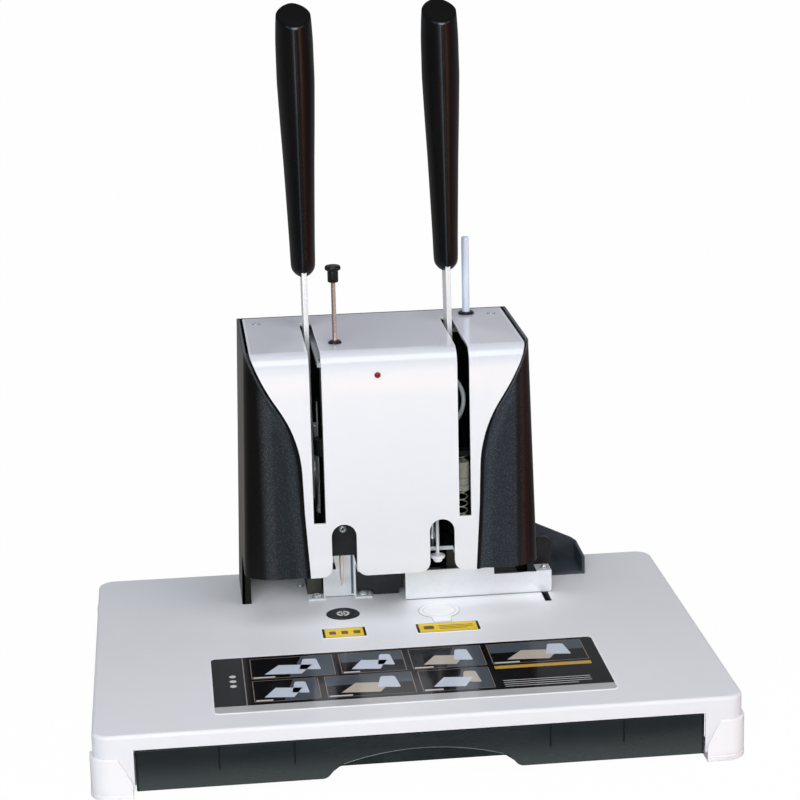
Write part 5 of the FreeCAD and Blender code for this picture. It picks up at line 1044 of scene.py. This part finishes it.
def screws():
    """Screws of the stops and the guard, and those of the covers, with painted shade on the floors of their
    crosses and painted shadow round their seats.
    """
    plated = steel("plated_screw", (0.78, 0.85, 0.88), 0.2, (1, 1, 1), 1800, metallic=0.6)
    dark = gloss_black("recess_shade_black", (0.01, 0.012, 0.012), 0.4)
    stop_row = [(values, Matrix()) for values in DECK_SCREWS] + [(GUARD_SCREW, facing(*GUARD_PLACE, 90))]
    cover_row = []
    for side in (-1, 1):
        on_cover = side * TOP_SCREW_X, TOP_SCREW_Y, HOUSING_TOP, *COVER_SCREW, 0.4 * side
        cover_row.append((on_cover, Matrix()))
        for height in REAR_SCREW_HEIGHTS:
            place = facing(side * REAR_SCREW_X, REAR_SCREW_Y, height, -90)
            cover_row.append(((0, 0, 0, *COVER_SCREW, height), place))
    rows = {"bracket_screws": stop_row, "cover_screws": cover_row}
    # The second maker draws the painted shade in the crosses and the painted shadow round the seats.
    for make, names, finish in ((screw_head, ("stop_screws", "cover_screw_heads"), plated),
                                (cross_and_seat_shade, ("stop_screw_shade", "cover_screw_shade"), dark)):
        for name, (node, row) in zip(names, rows.items()):
            shape = together(*(moved(make(*values), place) for values, place in row))
            put(name, shape, finish, node, 0, (node,) if make is screw_head else ())


def stops():
    """Zinc stops with strips of painted shadow under and beside them, and the small black pieces of the
    deck.
    """
    bright = zinc(tone=(0.93, 0.97, 1.0), polish=0.06)
    refined("drill_backstop", bright)
    refined("rivet_backstop", bright)
    # Thin dark strips of painted shadow along the feet of the stops and beside the left stop's return.
    shade = rubbery("shadow_blue", (0.13, 0.17, 0.20))
    groove_shade = slab(lay_front(79.92), 0.1, box_outline(-24.0, DECK + 1.6, -22.5, 79))
    left_gap_shadow = slab(lay_flat(DECK + 0.06), 0.1, box_outline(-43.4, 79.2, -22.6, 80.1))
    right_gap_shadow = slab(lay_flat(DECK + 0.06), 0.1, box_outline(12.9, 64.2, 115, 65.1))
    put("left_stop_shadow", together(groove_shade, left_gap_shadow), shade, "drill_backstop")
    put("right_stop_shadow", right_gap_shadow, shade, "rivet_backstop")
    in_black("centre_wall", "coated_black", (0.018, 0.019, 0.024), 0.38)
    in_black("side_stop_post", "post_black", (0.009, 0.009, 0.010), 0.3, 0.5)
    in_black("offcut_tray", "tray_black", (0.042, 0.052, 0.063), 0.3, 0.5)
    refined("rivet_anvil", zinc("anvil_steel", (0.6, 0.6, 0.6)))


# ---------------------------------------------------------------- housing

LOW_HALF = 56.0                   # half width of the panel's lower edge
SIDE_LINE = softened([(LOW_HALF, PANEL_LOW), (58.6, 125.0), (60.1, 176.7, 88), (83.6, 214.0, 150),
                      (TOP_HALF, HOUSING_TOP)], 10, loop=False)
BEND_LOW = HOUSING_TOP - PANEL_BEND
BEND_RUN = PANEL_BEND * math.pi / 2
BEND_Y = PANEL_FRONT + PANEL_BEND
ARCH_HALF, ARCH_SPRING, ARCH_FOOT, LAMP_X, LAMP_Z = 8.35, 116.7, 7, -7.9, 218.5


def panel_edge(height):
    """Half width of the panel at a height, from its swept side line."""
    return np.interp(height, SIDE_LINE[:, 1], SIDE_LINE[:, 0])


def roll(u, v, level):
    """Bends the flat sheet: v runs up the front, round the bend and back along the top.

    The angle in the bend is (v - start) / radius.
    """
    angle = np.clip((v - BEND_LOW) / PANEL_BEND, 0, math.pi / 2)
    radius = PANEL_BEND - level
    y = BEND_Y - radius * np.cos(angle) + np.maximum(v - BEND_LOW - BEND_RUN, 0)
    z = np.minimum(v, BEND_LOW) + radius * np.sin(angle)
    return np.stack([u, y, z], 1)


def on_top(y):
    """Place along the flat sheet of a depth in the top."""
    return BEND_LOW + BEND_RUN + y - BEND_Y


def front_panel():
    """One white sheet over the front and the top, with two arches, two lever slots and three holes."""
    angle = np.linspace(0, math.pi / 2, 7)
    bend = np.stack([panel_edge(BEND_LOW + PANEL_BEND * np.sin(angle)), BEND_LOW + PANEL_BEND * angle], 1)
    side = np.vstack([SIDE_LINE[SIDE_LINE[:, 1] < BEND_LOW - 0.5], bend])
    back = [(TOP_HALF, BEND_LOW + BEND_RUN), (TOP_HALF, on_top(HOUSING_BACK), 2), (0, on_top(HOUSING_BACK))]
    back = softened(back, 4, loop=False)[1:-1]
    left, right = (softened([(x + 24, PANEL_LOW), (x + ARCH_HALF, PANEL_LOW, ARCH_FOOT),
                             (x + ARCH_HALF, ARCH_SPRING, 8.3), (x - ARCH_HALF, ARCH_SPRING, 8.3),
                             (x - ARCH_HALF, PANEL_LOW, ARCH_FOOT), (x - 24, PANEL_LOW)],
                            8, loop=False)[1:-1] for x in (DRILL_X, RIVET_X))
    outline = np.vstack([side, back, back[::-1] * (-1, 1), side[::-1] * (-1, 1), left[::-1], right[::-1]])
    end = on_top(SLOT_BACK)
    slots = [box_outline(SLOT_IN, SLOT_LOW, SLOT_OUT, end, 0.4),
             box_outline(-SLOT_OUT, SLOT_LOW, -SLOT_IN, end, 0.4)]
    holes = [ring(LAMP_X, LAMP_Z, 2.1, 24), ring(DRILL_X, on_top(DRILL_Y), 3.1, 24),
             ring(TUBE_X, on_top(TUBE_Y), 4.2, 24)]
    cuts = BEND_LOW + BEND_RUN * np.linspace(0, 1, 13)
    panel = slab(roll, PANEL_SHEET, outline, slots + holes, cuts)
    put("white_panel", panel, gloss_white(), "front_panel", 0.3, ("front_panel",), flats=0.3)


COVER_FRONT, COVER_SHEET, THROAT_TOP, THROAT_BACK = 16.3, 2.0, 79.5, 75.0
CORNER_WIDE, CORNER_DEEP, COVER_FOOT, COVER_TOP = 24.0, 15.0, 101.0, 95.0
COVER_STEP = 221.1                # above it the covers end beside the white sheet
LIP_IN, LIP_LOW, LIP_HIGH = 94.5, 100.95, 99.75


def cover_section(x, half, edge):
    """Depth of the cover's front at x: bead and hollow beside the panel, elliptic outer corner."""
    corner = np.clip((x - (half - CORNER_WIDE)) / CORNER_WIDE, 0, 1)
    bead = 1.7 * np.exp(-((x - edge - 2.0) / 1.25) ** 2) * (x > edge - 1)
    hollow = 0.9 * np.exp(-((x - edge - 6.5) / 4.0) ** 2)
    return COVER_FRONT + CORNER_DEEP * (1 - np.sqrt(1 - corner ** 2)) - bead + hollow * (1 - corner)


def side_cover(side):
    """Drafted cover: sections stacked by height, each along the front, round the corner and back."""
    heights = np.concatenate([[DECK, 60.0, THROAT_TOP], np.linspace(THROAT_TOP, COVER_STEP - 0.1, 46)[1:],
                              [COVER_STEP + 0.1], np.linspace(COVER_STEP + 1.9, HOUSING_TOP, 7)])
    half = COVER_FOOT + (COVER_TOP - COVER_FOOT) * (heights - DECK) / (HOUSING_TOP - DECK)
    edge = np.where(heights < PANEL_LOW, LOW_HALF, panel_edge(heights))
    start = np.where(heights < COVER_STEP, edge - 2.4, edge + 0.3)
    share = np.concatenate([np.linspace(0, 0.35, 14), np.linspace(0.35, 1, 31)[1:] ** 0.8])
    share = 1 - (1 - share) ** 1.6
    x = start[:, None] + (half - start)[:, None] * share[None]
    y = cover_section(x, half[:, None], edge[:, None])
    y = np.where(heights[:, None] > COVER_STEP, np.maximum(y, COVER_FRONT), y)
    along = np.concatenate([np.linspace(0, 1, 9)[1:-1], [1.0], 1 + np.linspace(0, 1, 9)[1:]])
    turn_y = y[:, -1:]
    down = np.where(along <= 1, turn_y + (THROAT_BACK - turn_y) * along,
                    THROAT_BACK + (HOUSING_BACK - THROAT_BACK) * (along - 1))
    x = np.hstack([x, np.repeat(half[:, None], len(along), 1)])
    y = np.hstack([y, down])
    way_x, way_y = np.gradient(x, axis=1), np.gradient(y, axis=1)
    length = np.hypot(way_x, way_y)
    z = np.repeat(heights[:, None], x.shape[1], 1)
    outer = np.stack([side * x, y, z], -1)
    inner = np.stack([side * (x - COVER_SHEET * way_y / length), y + COVER_SHEET * way_x / length, z], -1)
    faces = grid_faces(*x.shape).reshape(x.shape[0] - 1, x.shape[1] - 1, 4)
    keep = np.ones(faces.shape[:2], bool)
    keep[:2, :x.shape[1] - 9] = False         # under the throat only the part behind it stays
    return thickened(outer, inner, faces[keep])


def housing():
    """White panel, the covers with the distance from the panel on them, lamp, collars, inlet and switch."""
    front_panel()
    for side, node, tone, painted_light_bands in COVERS:
        lip = [(side * LIP_LOW, DECK), (side * LIP_IN, DECK), (side * LIP_IN, THROAT_TOP),
               (side * LIP_HIGH, THROAT_TOP)]
        shape = together(side_cover(side), slab(lay_front(THROAT_BACK), COVER_SHEET, lip))
        finish = cover_black(node + "_black", side, tone, painted_light_bands)
        cover = whole(node + "_grained", shape, finish, node, 0.3).data
        places = np.array([vertex.co for vertex in cover.vertices]) / MM
        gap = np.abs(places[:, 0]) - panel_edge(places[:, 2])
        distance = cover.attributes.new("panel_gap", "FLOAT", "POINT")
        distance.data.foreach_set("value", gap.astype(np.float32))
    refined("rear_cover", grained_black(), 0.4)
    lamp = [(0, -3.4), (0.7, -3.3), (1.3, -3.0), (1.75, -2.5), (2.0, -1.9), (2.0, 2.0), (0, 2.0)]
    lens = moved(turned(lamp, sides=32), facing(LAMP_X, PANEL_FRONT + 2, LAMP_Z, -90))
    whole("lamp_lens", lens, red_lamp(), "status_lamp")
    bush_black = gloss_black("bush_black")
    top = HOUSING_TOP
    for name, node, x, y, bore, neck in (("rod_collar", "rod_bush", DRILL_X, DRILL_Y, 1.75, 3.0),
                                         ("tube_collar", "tube_bush", TUBE_X, TUBE_Y, 2.85, 4.1)):
        profile = [(bore, top - 6), (neck, top - 6), (neck, top), (neck + 1.5, top),
                   (neck + 1.6, top + 0.4), (neck + 1.3, top + 1.2), (neck + 0.5, top + 1.75),
                   (bore + 0.4, top + 1.8), (bore, top + 1.4)]
        spun(name, node, x, y, profile, bush_black, bevel=0.1, loop=True)
    in_black("power_inlet", "inlet_black", (0.016, 0.016, 0.018), 0.34, 0.4)
    in_black("switch_rocker", "rocker_black", (0.02, 0.02, 0.022), 0.2, 0.4)


# ---------------------------------------------------------------- levers

GRIP_SIDES, GRIP_POWER, GRIP_HIGH = 96, 1.7, 318.6
GRIP_HEIGHTS = [GRIP_LOW, 134, 135, 136.5, 138.5, 141, 145, 156, 183, 211, 238, 266, 293, 305, GRIP_HIGH]
GRIP_HALF_X = [1.9, 2.9, 4.6, 6.2, 7.6, 8.3, 8.5, 8.7, 9.6, 10.6, 11.8, 12.85, 12.75, 12.2, 11.2]
GRIP_HALF_Y = [3.0, 4.6, 7.2, 9.6, 11.7, 12.7, 13.0, 13.1, 13.4, 13.8, 14.4, 15.0, 15.0, 14.6, 13.6]
# share of the rim and lift over the slanted plane, for the rims of the grip's top
FACE_RIMS = [(0.955, 0.35), (0.9, 0.42), (0.8, 0.3), (0.55, 0.05), (0.25, -0.1), (0.0, -0.15)]


def grip():
    """Grip round its bar: almond sections with a fine mould line in front and behind.

    Section: |x/a|^1.7 + |y/b|^1.7 = 1. Each line up the grip ends on the slanted plane; the face is a set
    of shrinking rims, a little hollow.
    """
    a = np.arange(GRIP_SIDES) * TAU / GRIP_SIDES
    power = 2 / GRIP_POWER
    cos, sin = (np.sign(way) * np.abs(way) ** power for way in (np.cos(a), np.sin(a)))
    line = 1 + 0.016 * np.exp(-(np.cos(a) / 0.05) ** 2)
    heights = np.linspace(GRIP_LOW, GRIP_HIGH, 400)
    kernel = np.hanning(25)
    kernel /= kernel.sum()
    smooth = []
    for halves in (GRIP_HALF_X, GRIP_HALF_Y):
        run = np.interp(heights, GRIP_HEIGHTS, halves)
        run[20:] = np.convolve(np.pad(run, 12, "edge"), kernel, "valid")[20:]
        smooth.append(run)

    def half(height):
        return [np.interp(height, heights, run) for run in smooth]

    top = np.full_like(a, 306.0)
    for _ in range(8):
        top = np.minimum(GRIP_SLANT + GRIP_SLOPE * half(top)[1] * sin, GRIP_HIGH - 0.3)
    share = np.concatenate([np.linspace(0, 1, 13)[:-1] ** 2 * 0.08, np.linspace(0.08, 1, 60)])
    height = GRIP_LOW + (top - GRIP_LOW)[None] * share[:, None]
    half_x, half_y = half(height)
    body = np.stack([half_x * cos, half_y * sin * line, height], -1)
    rim = body[-1]
    centre = rim.mean(0)
    over = np.array([0, -GRIP_SLOPE, 1.0]) / math.hypot(GRIP_SLOPE, 1)
    rims = [centre + (rim - centre) * shrink + over * lift for shrink, lift in FACE_RIMS]
    body = np.concatenate([body[:-1], [rim * (0.992, 0.992, 1)], np.array(rims)])
    foot = np.repeat(body[:1].mean(1, keepdims=True), GRIP_SIDES, 1)
    points = np.concatenate([foot, body])
    return points.reshape(-1, 3), grid_faces(len(points), GRIP_SIDES, round_columns=True).tolist()


def levers():
    """Polished bars and their grips."""
    nickel = steel("nickel_bar", (0.95, 0.955, 0.95), 0.2, (1, 1, 0.02), 2200, metallic=0.12)
    for side, node in ((-1, "drill_lever"), (1, "rivet_lever")):
        black = grip_black(node + "_black", side * LEVER_X)
        refined(node + "_bar", nickel, 0.45)
        lean = facing(side * LEVER_X, PIVOT_Y, PIVOT_Z, -LEVER_LEAN)
        whole(node + "_handle", moved(grip(), lean), black, node + "_grip")


# ---------------------------------------------------------------- drill station

def drill_station():
    """Clearing rod with its knob, guard, hollow bit, and the works behind the panel."""
    rod = [(0, 61.8), (0.25, 61.9), (0.5, 62.6), (1.35, 69.2), (1.5, 70.4), (1.5, 280), (0, 280)]
    spun("push_rod", "clearing_rod", DRILL_X, DRILL_Y, rod, bronzed_rod(), 24)
    knob = [(1.5, 275.5), (3.0, 275.5), (3.45, 275.8), (3.6, 276.4), (3.6, 282.3), (3.5, 283.0),
            (4.2, 283.4), (5.0, 283.9), (5.3, 284.5), (5.3, 285.5), (5.1, 286.2), (4.5, 286.7),
            (3.9, 286.85), (3.4, 286.9), (3.0, 286.7), (0, 286.6)]
    knob_black = gloss_black("knob_black", (0.006, 0.007, 0.007), 0.24)
    spun("mushroom_knob", "rod_knob", DRILL_X, DRILL_Y, knob, knob_black, 48)
    in_black("drill_guard", "guard_black", (0.018, 0.019, 0.023), 0.34, 0.5)
    bit = [(1.9, 94.0), (2.2, 94.0), (3.0, 96.5), (3.0, 152), (1.9, 152)]
    bit_steel = steel("bit_steel", (0.62, 0.63, 0.65), 0.2)
    spun("hollow_bit", "drill_bit", DRILL_X, DRILL_Y, bit, bit_steel, 32, loop=True)
    ground = steel("ground_steel", (0.80, 0.86, 0.90), 0.22, metallic=0.25)
    for node in ("drill_spindle", "spindle_bearings", "drill_pinion", "drill_rack"):
        refined(node, ground, 0.15)
    for node in ("spindle_pulley", "motor_pulley"):
        refined(node, steel(node + "_alloy", (0.70, 0.71, 0.73), 0.3, (1, 0.05, 1), 1400))
    # The carriage's dark teal is painted shade of the housing's interior.
    in_black("drill_carriage", "carriage_shade_black", (0.010, 0.015, 0.016), 0.36)
    refined("drill_motor", steel("dark_steel", (0.34, 0.35, 0.37), 0.34), 0.5)
    refined("drive_belt", rubbery("belt_rubber", (0.02, 0.02, 0.02)), 0.1)
    coil(-14.0, DRILL_Y, 83, 160, 5.6, 0.6, 9, "drill_return_spring", ground)


CLOSED_TURNS = 0.8                # turns that lie flat at each end of a spring


def coil(x, y, low, high, radius, wire, turns, node, finish):
    """Compression spring: a helix, (x + r cos a, y + r sin a), whose ends close up and lie flat."""
    turn = np.linspace(0, 1, turns * 24 + 1) * (turns + 2 * CLOSED_TURNS)
    bottom, top = low + wire + 0.2, high - wire - 0.2
    rise = bottom + (top - bottom) * np.clip((turn - CLOSED_TURNS) / turns, 0, 1)
    path = np.stack([x + radius * np.cos(turn * TAU), y + radius * np.sin(turn * TAU), rise], 1)
    whole(node + "_wire", swept(path, wire, 8), finish, node)


# ---------------------------------------------------------------- rivet station

LEAD_X, LEAD_Y, LEAD_Z, LEAD_ROUND, LEAD_RADIUS = 29.6, 25.0, 196, 20.6, 1.5
LEAD_LEGS, LEAD_LOW, LEAD_HIGH = (16.4, 42.8), 168.5, 179.5


def rivet_station():
    """Rivet head, the works behind it, the sleeve over its spring, the lead's loop and the nylon tube."""
    bright = steel("rivet_steel", (0.97, 0.98, 0.99), 0.16, metallic=0.1)
    head = [(0, 77.6), (2.2, 77.6), (2.9, 78.0), (3.2, 79.4), (4.6, 80.4), (4.9, 81.0), (4.9, 82.4),
            (3.4, 83.0), (1.6, 83.6), (1.2, 84.4), (1.2, 127.6), (1.6, 128), (5.4, 128.0), (6.6, 129.0),
            (7.0, 130.2), (7.0, 153.2), (5.0, 153.4), (5.0, 168), (0, 168)]
    spun("rivet_nose", "rivet_head", RIVET_X, RIVET_Y, head, bright, bevel=0.1)
    ground = steel("press_steel", (0.66, 0.67, 0.70), 0.24)
    refined("rivet_pinion", ground, 0.15)
    refined("rivet_rack", ground, 0.15)
    # The carriage's dark teal is painted shade of the housing's interior.
    in_black("rivet_carriage", "press_shade_black", (0.010, 0.013, 0.014), 0.36)
    sleeve = [(3.9, 129.2), (4.5, 129.2), (4.8, 129.6), (4.8, 149.0), (4.4, 149.4), (3.9, 149.4)]
    spun("frosted_sleeve", "spring_sleeve", COIL_X, COIL_Y, sleeve, frosted_sleeve(), loop=True)
    wire = steel("spring_steel", (0.8, 0.76, 0.62), 0.25, metallic=0.6)
    coil(COIL_X, COIL_Y, 83, 154, 3.3, 0.45, 14, "rivet_return_spring", wire)
    turn = np.radians(np.linspace(230, -50, 61))
    loop = np.stack([LEAD_X + LEAD_ROUND * np.cos(turn), np.full(61, LEAD_Y),
                     LEAD_Z + LEAD_ROUND * np.sin(turn)], 1)
    legs = [[[x, LEAD_Y, z] for z in np.linspace(LEAD_LOW, LEAD_HIGH, 8)] for x in LEAD_LEGS]
    path = np.vstack([legs[0], loop, legs[1][::-1]])
    whole("lead_loop", swept(path, LEAD_RADIUS, 12, up=(0, 1, 0)),
          rubbery("lead_sleeving", (0.42, 0.45, 0.47), 0.4), "heater_lead")
    tube = [(1.9, 42.4), (2.4, 42.4), (2.6, 42.7), (2.6, 288.2), (2.4, 288.5), (1.9, 288.5)]
    spun("rivet_tube", "nylon_tube", TUBE_X, TUBE_Y, tube, nylon(), 36, loop=True)


# A dark sheet of painted shade behind the right edge of the panel, darkening the slot.
SHADE_SCREEN_X, SHADE_SCREEN_SHEET, SHADE_SCREEN_ROUND = 59.3, 0.8, 3
SHADE_SCREEN_FRONT, SHADE_SCREEN_BACK, SHADE_SCREEN_LOW, SHADE_SCREEN_TOP = 30, 100, 120, 231.5


def inner_frame():
    """Plates, guide columns and axle, and a dark sheet of painted shade behind the right edge of the panel.
    """
    for node in ("left_frame_plate", "right_frame_plate"):
        refined(node, frame_paint(node + "_paint"), 0.25)
    refined("lower_plate", shelf_zinc(), 0.25)
    refined("top_plate", zinc("top_plate_zinc", (0.72, 0.75, 0.78)), 0.25)
    # The dark sheet is painted shade.
    outline = box_outline(SHADE_SCREEN_FRONT, SHADE_SCREEN_LOW, SHADE_SCREEN_BACK, SHADE_SCREEN_TOP, SHADE_SCREEN_ROUND)
    shade_sheet = slab(lay_side(SHADE_SCREEN_X), SHADE_SCREEN_SHEET, outline)
    put("shade_screen", shade_sheet, frame_paint("shade_screen_paint"), "right_frame_plate", 0.2)
    chrome = steel("hard_chrome", (0.82, 0.83, 0.85), 0.1)
    painted("guide_columns", chrome)
    painted("lever_axle", chrome)


# ---------------------------------------------------------------- camera and light

CAMERA_YAW, CAMERA_PITCH, CAMERA_TILT = 6.02, 15.25, 1.30                 # degrees
CAMERA_PLACE, CAMERA_LENS, CAMERA_SENSOR = (-0.1422, -1.3963, 0.5875), 100.43, 36


def camera():
    """Camera a little above the desk, turned 6 degrees to the right and rolled a little."""
    yaw, pitch, tilt = (math.radians(a) for a in (CAMERA_YAW, CAMERA_PITCH, CAMERA_TILT))
    ahead = np.array([math.sin(yaw) * math.cos(pitch), math.cos(yaw) * math.cos(pitch), -math.sin(pitch)])
    right = np.array([math.cos(yaw), -math.sin(yaw), 0])
    down = np.cross(ahead, right)
    across = math.cos(tilt) * right + math.sin(tilt) * down
    below = -math.sin(tilt) * right + math.cos(tilt) * down
    data = bpy.data.cameras.new("camera")
    data.lens, data.sensor_width, data.clip_end = CAMERA_LENS, CAMERA_SENSOR, 60
    obj = bpy.data.objects.new("camera", data)
    turn = Matrix(np.stack([across, -below, -ahead], 1).tolist()).to_4x4()
    obj.matrix_world = Matrix.Translation(CAMERA_PLACE) @ turn
    bpy.context.scene.collection.objects.link(obj)
    bpy.context.scene.camera = obj


def lamp(name, place, aim, size, power, colour):
    """Rectangular soft light at a place in metres, facing a point."""
    data = bpy.data.lights.new(name, "AREA")
    data.shape = "RECTANGLE"
    data.size, data.size_y = size
    data.energy, data.color = power, colour
    obj = bpy.data.objects.new(name, data)
    way = Vector(aim) - Vector(place)
    obj.matrix_world = Matrix.Translation(place) @ way.to_track_quat("-Z", "Y").to_matrix().to_4x4()
    bpy.context.scene.collection.objects.link(obj)
    return obj


ROOM_FRONT, ROOM_BACK, ROOM_TOP, ROOM_LIGHT = 0.08, 0.34, 0.12, 0.3


def surroundings():
    """White behind the object; for light and reflections, a room that is brighter behind and above."""
    world = bpy.context.scene.world or bpy.data.worlds.new("world")
    bpy.context.scene.world = world
    world.use_nodes = True
    world.node_tree.nodes.clear()
    w = Nodes(world.node_tree)
    way = w.node("TexCoord", output="Generated")
    _, deep, high = w.split(way)
    behind = w.node("MapRange", None, {0: deep, 1: -0.25, 2: 0.55, 3: ROOM_FRONT, 4: ROOM_BACK})
    above = w.node("MapRange", None, {0: high, 1: 0.35, 2: 0.95, 3: 0.0, 4: ROOM_TOP})
    stretched = w.node("Mapping", None, {"Vector": way, "Scale": (9, 9, 0.4)})
    noise = w.node("TexNoise", None, {"Vector": stretched, "Scale": 1.0})
    streaks = w.node("MapRange", None, {0: noise, 1: 0.35, 2: 0.65, 3: 0.7, 4: 1.3})
    room = behind.at_least(above) * streaks
    gloss = w.node("Mix", None, {0: w.rays("Glossy"), 2: ROOM_LIGHT, 3: room})
    strength = w.node("Mix", None, {0: w.seen(), 2: gloss, 3: 1.0})
    tint = w.mix(w.seen(), (0.90, 0.92, 1.0), EVEN)
    back = w.node("Background", None, {"Color": tint, "Strength": strength})
    w.join(back, w.tree.nodes.new("ShaderNodeOutputWorld").inputs["Surface"])


FLOOR_SIZE = 24
# place, aim and size in metres, power in watts and colour
LAMPS = {"key": ((-0.75, -2.1, 0.95), (0, 0, 0.15), (0.9, 1.1), 16, (0.96, 0.985, 1.0)),
         "window": ((-0.35, -2.6, 0.4), (0, 0, 0.2), (0.5, 0.22), 4, (0.96, 0.985, 1.0)),
         "fill": ((1.7, -1.3, 0.7), (0, 0, 0.15), (0.5, 1.2), 8, (1.0, 0.66, 0.56)),
         "over": ((0.0, -0.85, 1.75), (0, 0, 0.08), (1.6, 1.2), 17.5, (0.92, 0.96, 1.0)),
         "front": ((-0.2, -1.7, 0.62), (0, 0, 0.15), (0.16, 0.16), 1.2, (0.95, 0.98, 1.0))}
# light that bounces under the covers, the panel and the guard; it has no reflection
GLOWS = {"bounce": ((0.064, 0.0625, 0.057), (0.064, -0.05, 0.03), (0.1, 0.016), 0.011),
         "under panel": ((-0.004, 0.03, 0.079), (-0.004, 0.005, 0.04), (0.13, 0.014), 0.009),
         "under cover": ((-0.074, 0.07, 0.078), (-0.074, 0.066, 0.042), (0.04, 0.05), 0.006),
         "at nose": ((0.033, 0.022, 0.09), (0.033, 0.041, 0.085), (0.012, 0.012), 0.0012),
         "under guard": ((-0.033, 0.03, 0.079), (-0.033, 0.08, 0.06), (0.013, 0.01), 0.0022)}
GLOW_COLOUR = (0.93, 0.97, 1.0)


def studio():
    """Pale floor, large soft lights above and in front to the left, and faint warm light from the right."""
    bpy.ops.mesh.primitive_plane_add(size=1)
    floor = bpy.context.object
    floor.name = "floor"
    floor.data.transform(Matrix.Diagonal((FLOOR_SIZE, FLOOR_SIZE, 1, 1)))
    floor.data.materials.append(floor_white())
    surroundings()
    for name, values in LAMPS.items():
        lamp(name, *values)
    for name, values in GLOWS.items():
        glow = lamp(name, *values, GLOW_COLOUR)
        glow.visible_camera = glow.visible_glossy = False
    bpy.context.scene.view_settings.view_transform = "Standard"


# ---------------------------------------------------------------- the whole object

camera()
base()
cutting_pad()
rivet_disc()
instruction_label()
station_stickers()
stops()
screws()
housing()
levers()
drill_station()
rivet_station()
inner_frame()
studio()
